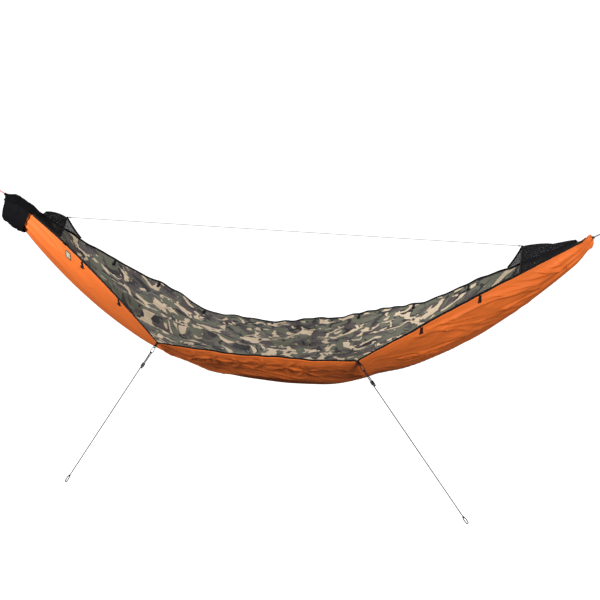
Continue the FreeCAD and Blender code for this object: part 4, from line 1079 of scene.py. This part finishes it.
def toggle_barrel(place):
    """A turned barrel: domed ends and a waist where its loop holds it."""
    half = TOGGLE_LENGTH / 2
    profile = [(-half, 0.0004), (-half + 0.0004, 0.0018), (-half + 0.0015, 0.0029), (-half + 0.0035, 0.0030),
               (-0.0030, 0.0026), (-0.0022, 0.0021)]
    profile += [(-x, r) for x, r in reversed(profile)]
    points = [place @ Vector((x, a, b)) for x, r in profile for a, b in ring(r, 16)]
    return points, tube_faces(len(profile), 16)


def make_toggles(side, places, share, toward, outside):
    """Webbing loops that hang from a tape, each with a barrel toggle on it. outside is 1 on the outer
    face of the bed and -1 on its inner face."""
    loops, barrels = [], []
    for x in places:
        width = girth(x)

        def spot(q, proud):
            part = q / width if toward > 0 else 1 - q / width
            if q < 0:
                return bed_point(x, share, q * toward, outside * proud - (0.002 if outside < 0 else 0))
            return (shell_point if outside > 0 else bed_layer_point)(x, part, proud)

        line = [spot(q, LOOP_PROUD) for q in (0.001, 0.006, 0.012, 0.018, 0.024, 0.030)]
        middle = spot(0.025, LOOP_PROUD + LOOP_THICK / 2 + 0.0003 + TOGGLE_RADIUS)
        run = (bed_point(x + 0.004, share) - bed_point(x - 0.004, share)).normalized()
        down = (line[-1] - line[0]).normalized()
        face = run.cross(down).normalized()
        if face.dot(middle - line[3]) < 0:
            face = -face
        # over the barrel's waist and back
        over = [line[-1] + down * 0.002 + face * 0.001, middle + down * 0.0045,
                middle + face * 0.0036 + down * 0.001, middle - down * 0.0042 + face * 0.0008,
                line[3] + face * 0.0016]
        route = spline_line(line + over, 0.0008)
        loops.append(sweep(route, rounded_strip(LOOP_WIDTH, 0.0010), lambda i: run.cross(heading(route, i))))
        barrels.append(toggle_barrel(placed(middle, run, down)))
    strap = add_mesh(f"{side}_toggle_webbing", *joined(loops), STRAP)
    dress(strap, "hammock", "black_webbing", f"{side}_toggle_loops")
    turned = add_mesh(f"{side}_toggle_barrels", *joined(barrels), PLASTIC)
    dress(turned, "hammock", "black_plastic", f"{side}_toggles")


make_toggles("near", NEAR_TOGGLES, 0, 1, 1)
make_toggles("far", FAR_TOGGLES, 1, -1, -1)

LABEL_X, LABEL_IN, LABEL_WIDTH, LABEL_HEIGHT = -0.957, 0.036, 0.030, 0.036


def label_point(u, v, proud):
    """A point of the label, u and v from -1 to 1 along and down it."""
    x = LABEL_X + u * LABEL_WIDTH / 2
    return shell_point(x, (LABEL_IN + v * LABEL_HEIGHT / 2) / girth(x), proud)


def make_label(steps=14):
    """A blank woven patch with a raised folded border and a line of stitches inside it."""
    points = []
    for i in range(steps + 1):
        for j in range(steps + 1):
            u, v = 2 * i / steps - 1, 2 * j / steps - 1
            points.append(label_point(u, v, 0.0014 - 0.0004 * max(abs(u), abs(v)) ** 8))
    patch = add_mesh("blank_label", points, grid_faces(steps + 1, steps + 1), LABEL)
    thicken(patch, 0.0008)
    dress(patch, "hammock", "label_cloth", "label_patch")
    corners = ((-1, -1), (1, -1), (1, 1), (-1, 1))
    sides = list(zip(corners, corners[1:] + corners[:1]))

    def along(side, t, inset, proud):
        (a, b), (c, d) = side
        return label_point((a + (c - a) * t) * inset, (b + (d - b) * t) * inset, proud)

    out = label_point(0, 0, 0.01) - label_point(0, 0, 0)
    hem, thread = [], []
    for side in sides:
        line = [along(side, t, 0.90, 0.0022) for t in np.linspace(-0.02, 1.02, 11)]
        hem.append(sweep(line, rounded_strip(0.0036, 0.0009), out.normalized()))
        for n in range(9):
            line = [along(side, (n + part) / 9, 0.74, 0.0021) for part in (0.15, 0.5, 0.85)]
            thread.append(sweep(line, ring(0.0003, 5), Vector((0.1, -0.8, 0.6))))
    for piece, made in (("label_folded_hem", hem), ("label_stitches", thread)):
        dress(add_mesh(piece, *joined(made), LABEL_EDGE), "hammock", "label_cloth")


make_label()


# ---------- stuff sack over the head gather
# rings across the cord: distance from the gather towards the bed, half width on the near and far side,
# how high its near and far sides lie, how far it swells over the line between them, and its depth
# below the cord, in millimetres
SACK_RINGS = (
    (-48, 5.6, 5.6, 0, 0, 5.6, 5.6),
    (-43, 4.3, 4.3, 0, 0, 4.3, 4.3),
    (-38, 6.5, 6.5, 0, 0, 5.0, 8.5),
    (-27, 15, 14, 0, 0, 8, 34),
    (-17, 25, 23, 0, 0, 12, 72),
    (-7, 38, 36, 0, 0, 17, 97),
    (4, 50, 46, 2, -2, 18, 104),
    (30, 71, 63, 12, -6, 14, 109),
    (57, 85, 75, 24, -12, 13, 110),
    (85, 101, 88, 34, -18, 16, 106),
    (110, 119, 99, 43, -26, 10, 101),
    (136, 130, 110, 48, -36, 4, 94),
)
SACK_TOP, SACK_MOUTH = -0.048, 0.136
SACK_HEM = 0.012


def sack_ring(back):
    """Ring sizes in metres, between the listed ones."""
    backs = [row[0] / 1000 for row in SACK_RINGS]
    return [float(np.interp(back, backs, [row[k] / 1000 for row in SACK_RINGS])) for k in range(1, 7)]


def sack_point(back, around):
    """around runs 0 to 1 from the near side under the cord to the far side and over the top."""
    tip, out, up = cord_axes(HEAD)
    near, far, near_rise, far_rise, crown, depth = sack_ring(back)
    a = tau * around
    side, lift = -cos(a), -sin(a)
    full = 0.80 if lift < 0 else 0.65  # under 1 the ring is fuller than an ellipse
    y = (near if side < 0 else far) * copysign(abs(side) ** 0.84, side)
    level = near_rise + (far_rise - near_rise) * (y + near) / (near + far)
    z = level + copysign(abs(lift) ** full, lift) * (crown if lift > 0 else depth + level)
    loose = smooth(-0.036, 0.0, back)
    mouth = 0.3 + 0.7 * smooth(SACK_MOUTH, SACK_MOUTH - 0.022, back)
    folds = 0.0060 * crumple(back, around * 0.5, 0.070, 0.055, 31.0, 0.9)
    folds += 0.0040 * creases(back, around * 0.5, 0.16, 0.045, 33.0, 0.6)
    folds += 0.0030 * wobble(back * 22, cos(a) * 2, sin(a) * 2)
    drawn = 0.0016 * cos(14 * a) * smooth(SACK_TOP, -0.030, back) * smooth(0.02, -0.02, back)
    drawn += 0.0006 * cos(14 * a) * (1 - smooth(-0.045, -0.030, back))
    grow = 1 + (folds * loose * mouth + drawn) / max(0.006, hypot(y, z))
    hem = 0.0012 * smooth(SACK_MOUTH - SACK_HEM, SACK_MOUTH - SACK_HEM + 0.002, back)
    grow += hem / max(0.02, hypot(y, z))
    lean = (0.004 * sin(3 * a + 0.6) + 0.006 * sin(a)) * smooth(0.08, SACK_MOUTH, back)
    return tip - out * (back + lean) + SIDE * (y * grow) + up * (z * grow)


def make_sack(rows=96, columns=128):
    points, uv = [], []
    for back in np.linspace(SACK_TOP, SACK_MOUTH, rows):
        for k in range(columns):
            points.append(sack_point(float(back), k / columns))
            uv.append((float(back), k / columns * 0.6))
    sack = add_mesh("stuff_sack_cloth", points, grid_faces(rows, columns, closed=True), BAG, uv)
    thicken(sack, 0.0006)
    dress(sack, "stuff_sack", "black_nylon", "stuff_sack")


make_sack()

# drawcord, its hanging end and the knot under the cord lock
DRAWCORD, DRAWCORD_RADIUS = 0.0024, 0.0057
LOCK_DROP, TAIL = 0.026, 0.020
head_tip, head_out, head_up = cord_axes(HEAD)
throat = head_tip + head_out * 0.043
# the NURBS line of the noose runs a little inside its points
noose_route = [throat + SIDE * a + head_up * b for a, b in ring(1.02 * DRAWCORD_RADIUS, 14)]
noose, _ = braided("sack_noose", noose_route, DRAWCORD, LINE, 0.0009, closed=True, around=12)
dress(noose, "stuff_sack", "guy_line", "sack_drawcord")
tail_top, tail_end = throat - UP * DRAWCORD_RADIUS, throat - UP * (LOCK_DROP + TAIL)
tail_route = [tail_top.lerp(tail_end, k / 3) for k in range(4)]
tail, tail_path = braided("sack_cord_tail", tail_route, DRAWCORD, LINE, 0.0009, around=12)
dress(tail, "stuff_sack", "guy_line", "sack_drawcord_tail")
tail_knot = knots("sack_cord_knot", [(tail_end, UP, 0.0036, DRAWCORD)], LINE)
dress(tail_knot, "stuff_sack", "guy_line", "sack_drawcord_knot")


# ---------- camera, light and floor
def make_camera():
    azimuth, down, roll = radians(12), radians(17.53), radians(1.0)
    distance, target = 5.42, at(0.063, 0, -0.389)
    away = Vector((sin(azimuth) * cos(down), -cos(azimuth) * cos(down), sin(down)))
    data = bpy.data.cameras.new("camera")
    data.lens, data.sensor_width = 70, 36
    data.clip_end = 200
    camera = new_object("camera", data)
    camera.location = target + away * distance
    camera.rotation_mode = "QUATERNION"
    camera.rotation_quaternion = (-away).to_track_quat("-Z", "Y") @ Quaternion((0, 0, 1), roll)
    bpy.context.scene.camera = camera


# each light's name, its place from the middle of the bed, its size in metres and its power in watts
LIGHTS = (
    ("key", (-4.2, -2.9, 1.5), 0.7, 330),
    ("fill", (2.4, -3.8, 2.0), 0.8, 240),
    ("top", (0.3, 2.2, 3.6), 1.6, 110),
)


def make_light(name, offset, size, power):
    aim = at(0, 0, -0.4)
    data = bpy.data.lights.new(name, "AREA")
    data.shape = "SQUARE"
    data.size, data.energy = size, power
    lamp = new_object(name, data)
    lamp.location = aim + Vector(offset)
    lamp.rotation_euler = (-Vector(offset)).to_track_quat("-Z", "Y").to_euler()


def make_stage():
    floor_z = CAD_LOW.z - 0.002
    corners = [(MID_X + x, y, floor_z) for x, y in ((-60, -60), (60, -60), (60, 60), (-60, 60))]
    floor = add_mesh("floor", corners, [(0, 1, 2, 3)], floor_paper(), smooth=False)
    floor.visible_diffuse = False  # its glow lights nothing
    floor.visible_glossy = False
    world = bpy.data.worlds.new("studio")
    bpy.context.scene.world = world
    world.use_nodes = True
    background = world.node_tree.nodes["Background"]
    background.inputs["Color"].default_value = (1, 1, 1, 1)
    background.inputs["Strength"].default_value = 0.12
    for light in LIGHTS:
        make_light(*light)


make_camera()
make_stage()
bpy.context.scene.view_settings.view_transform = "Standard"
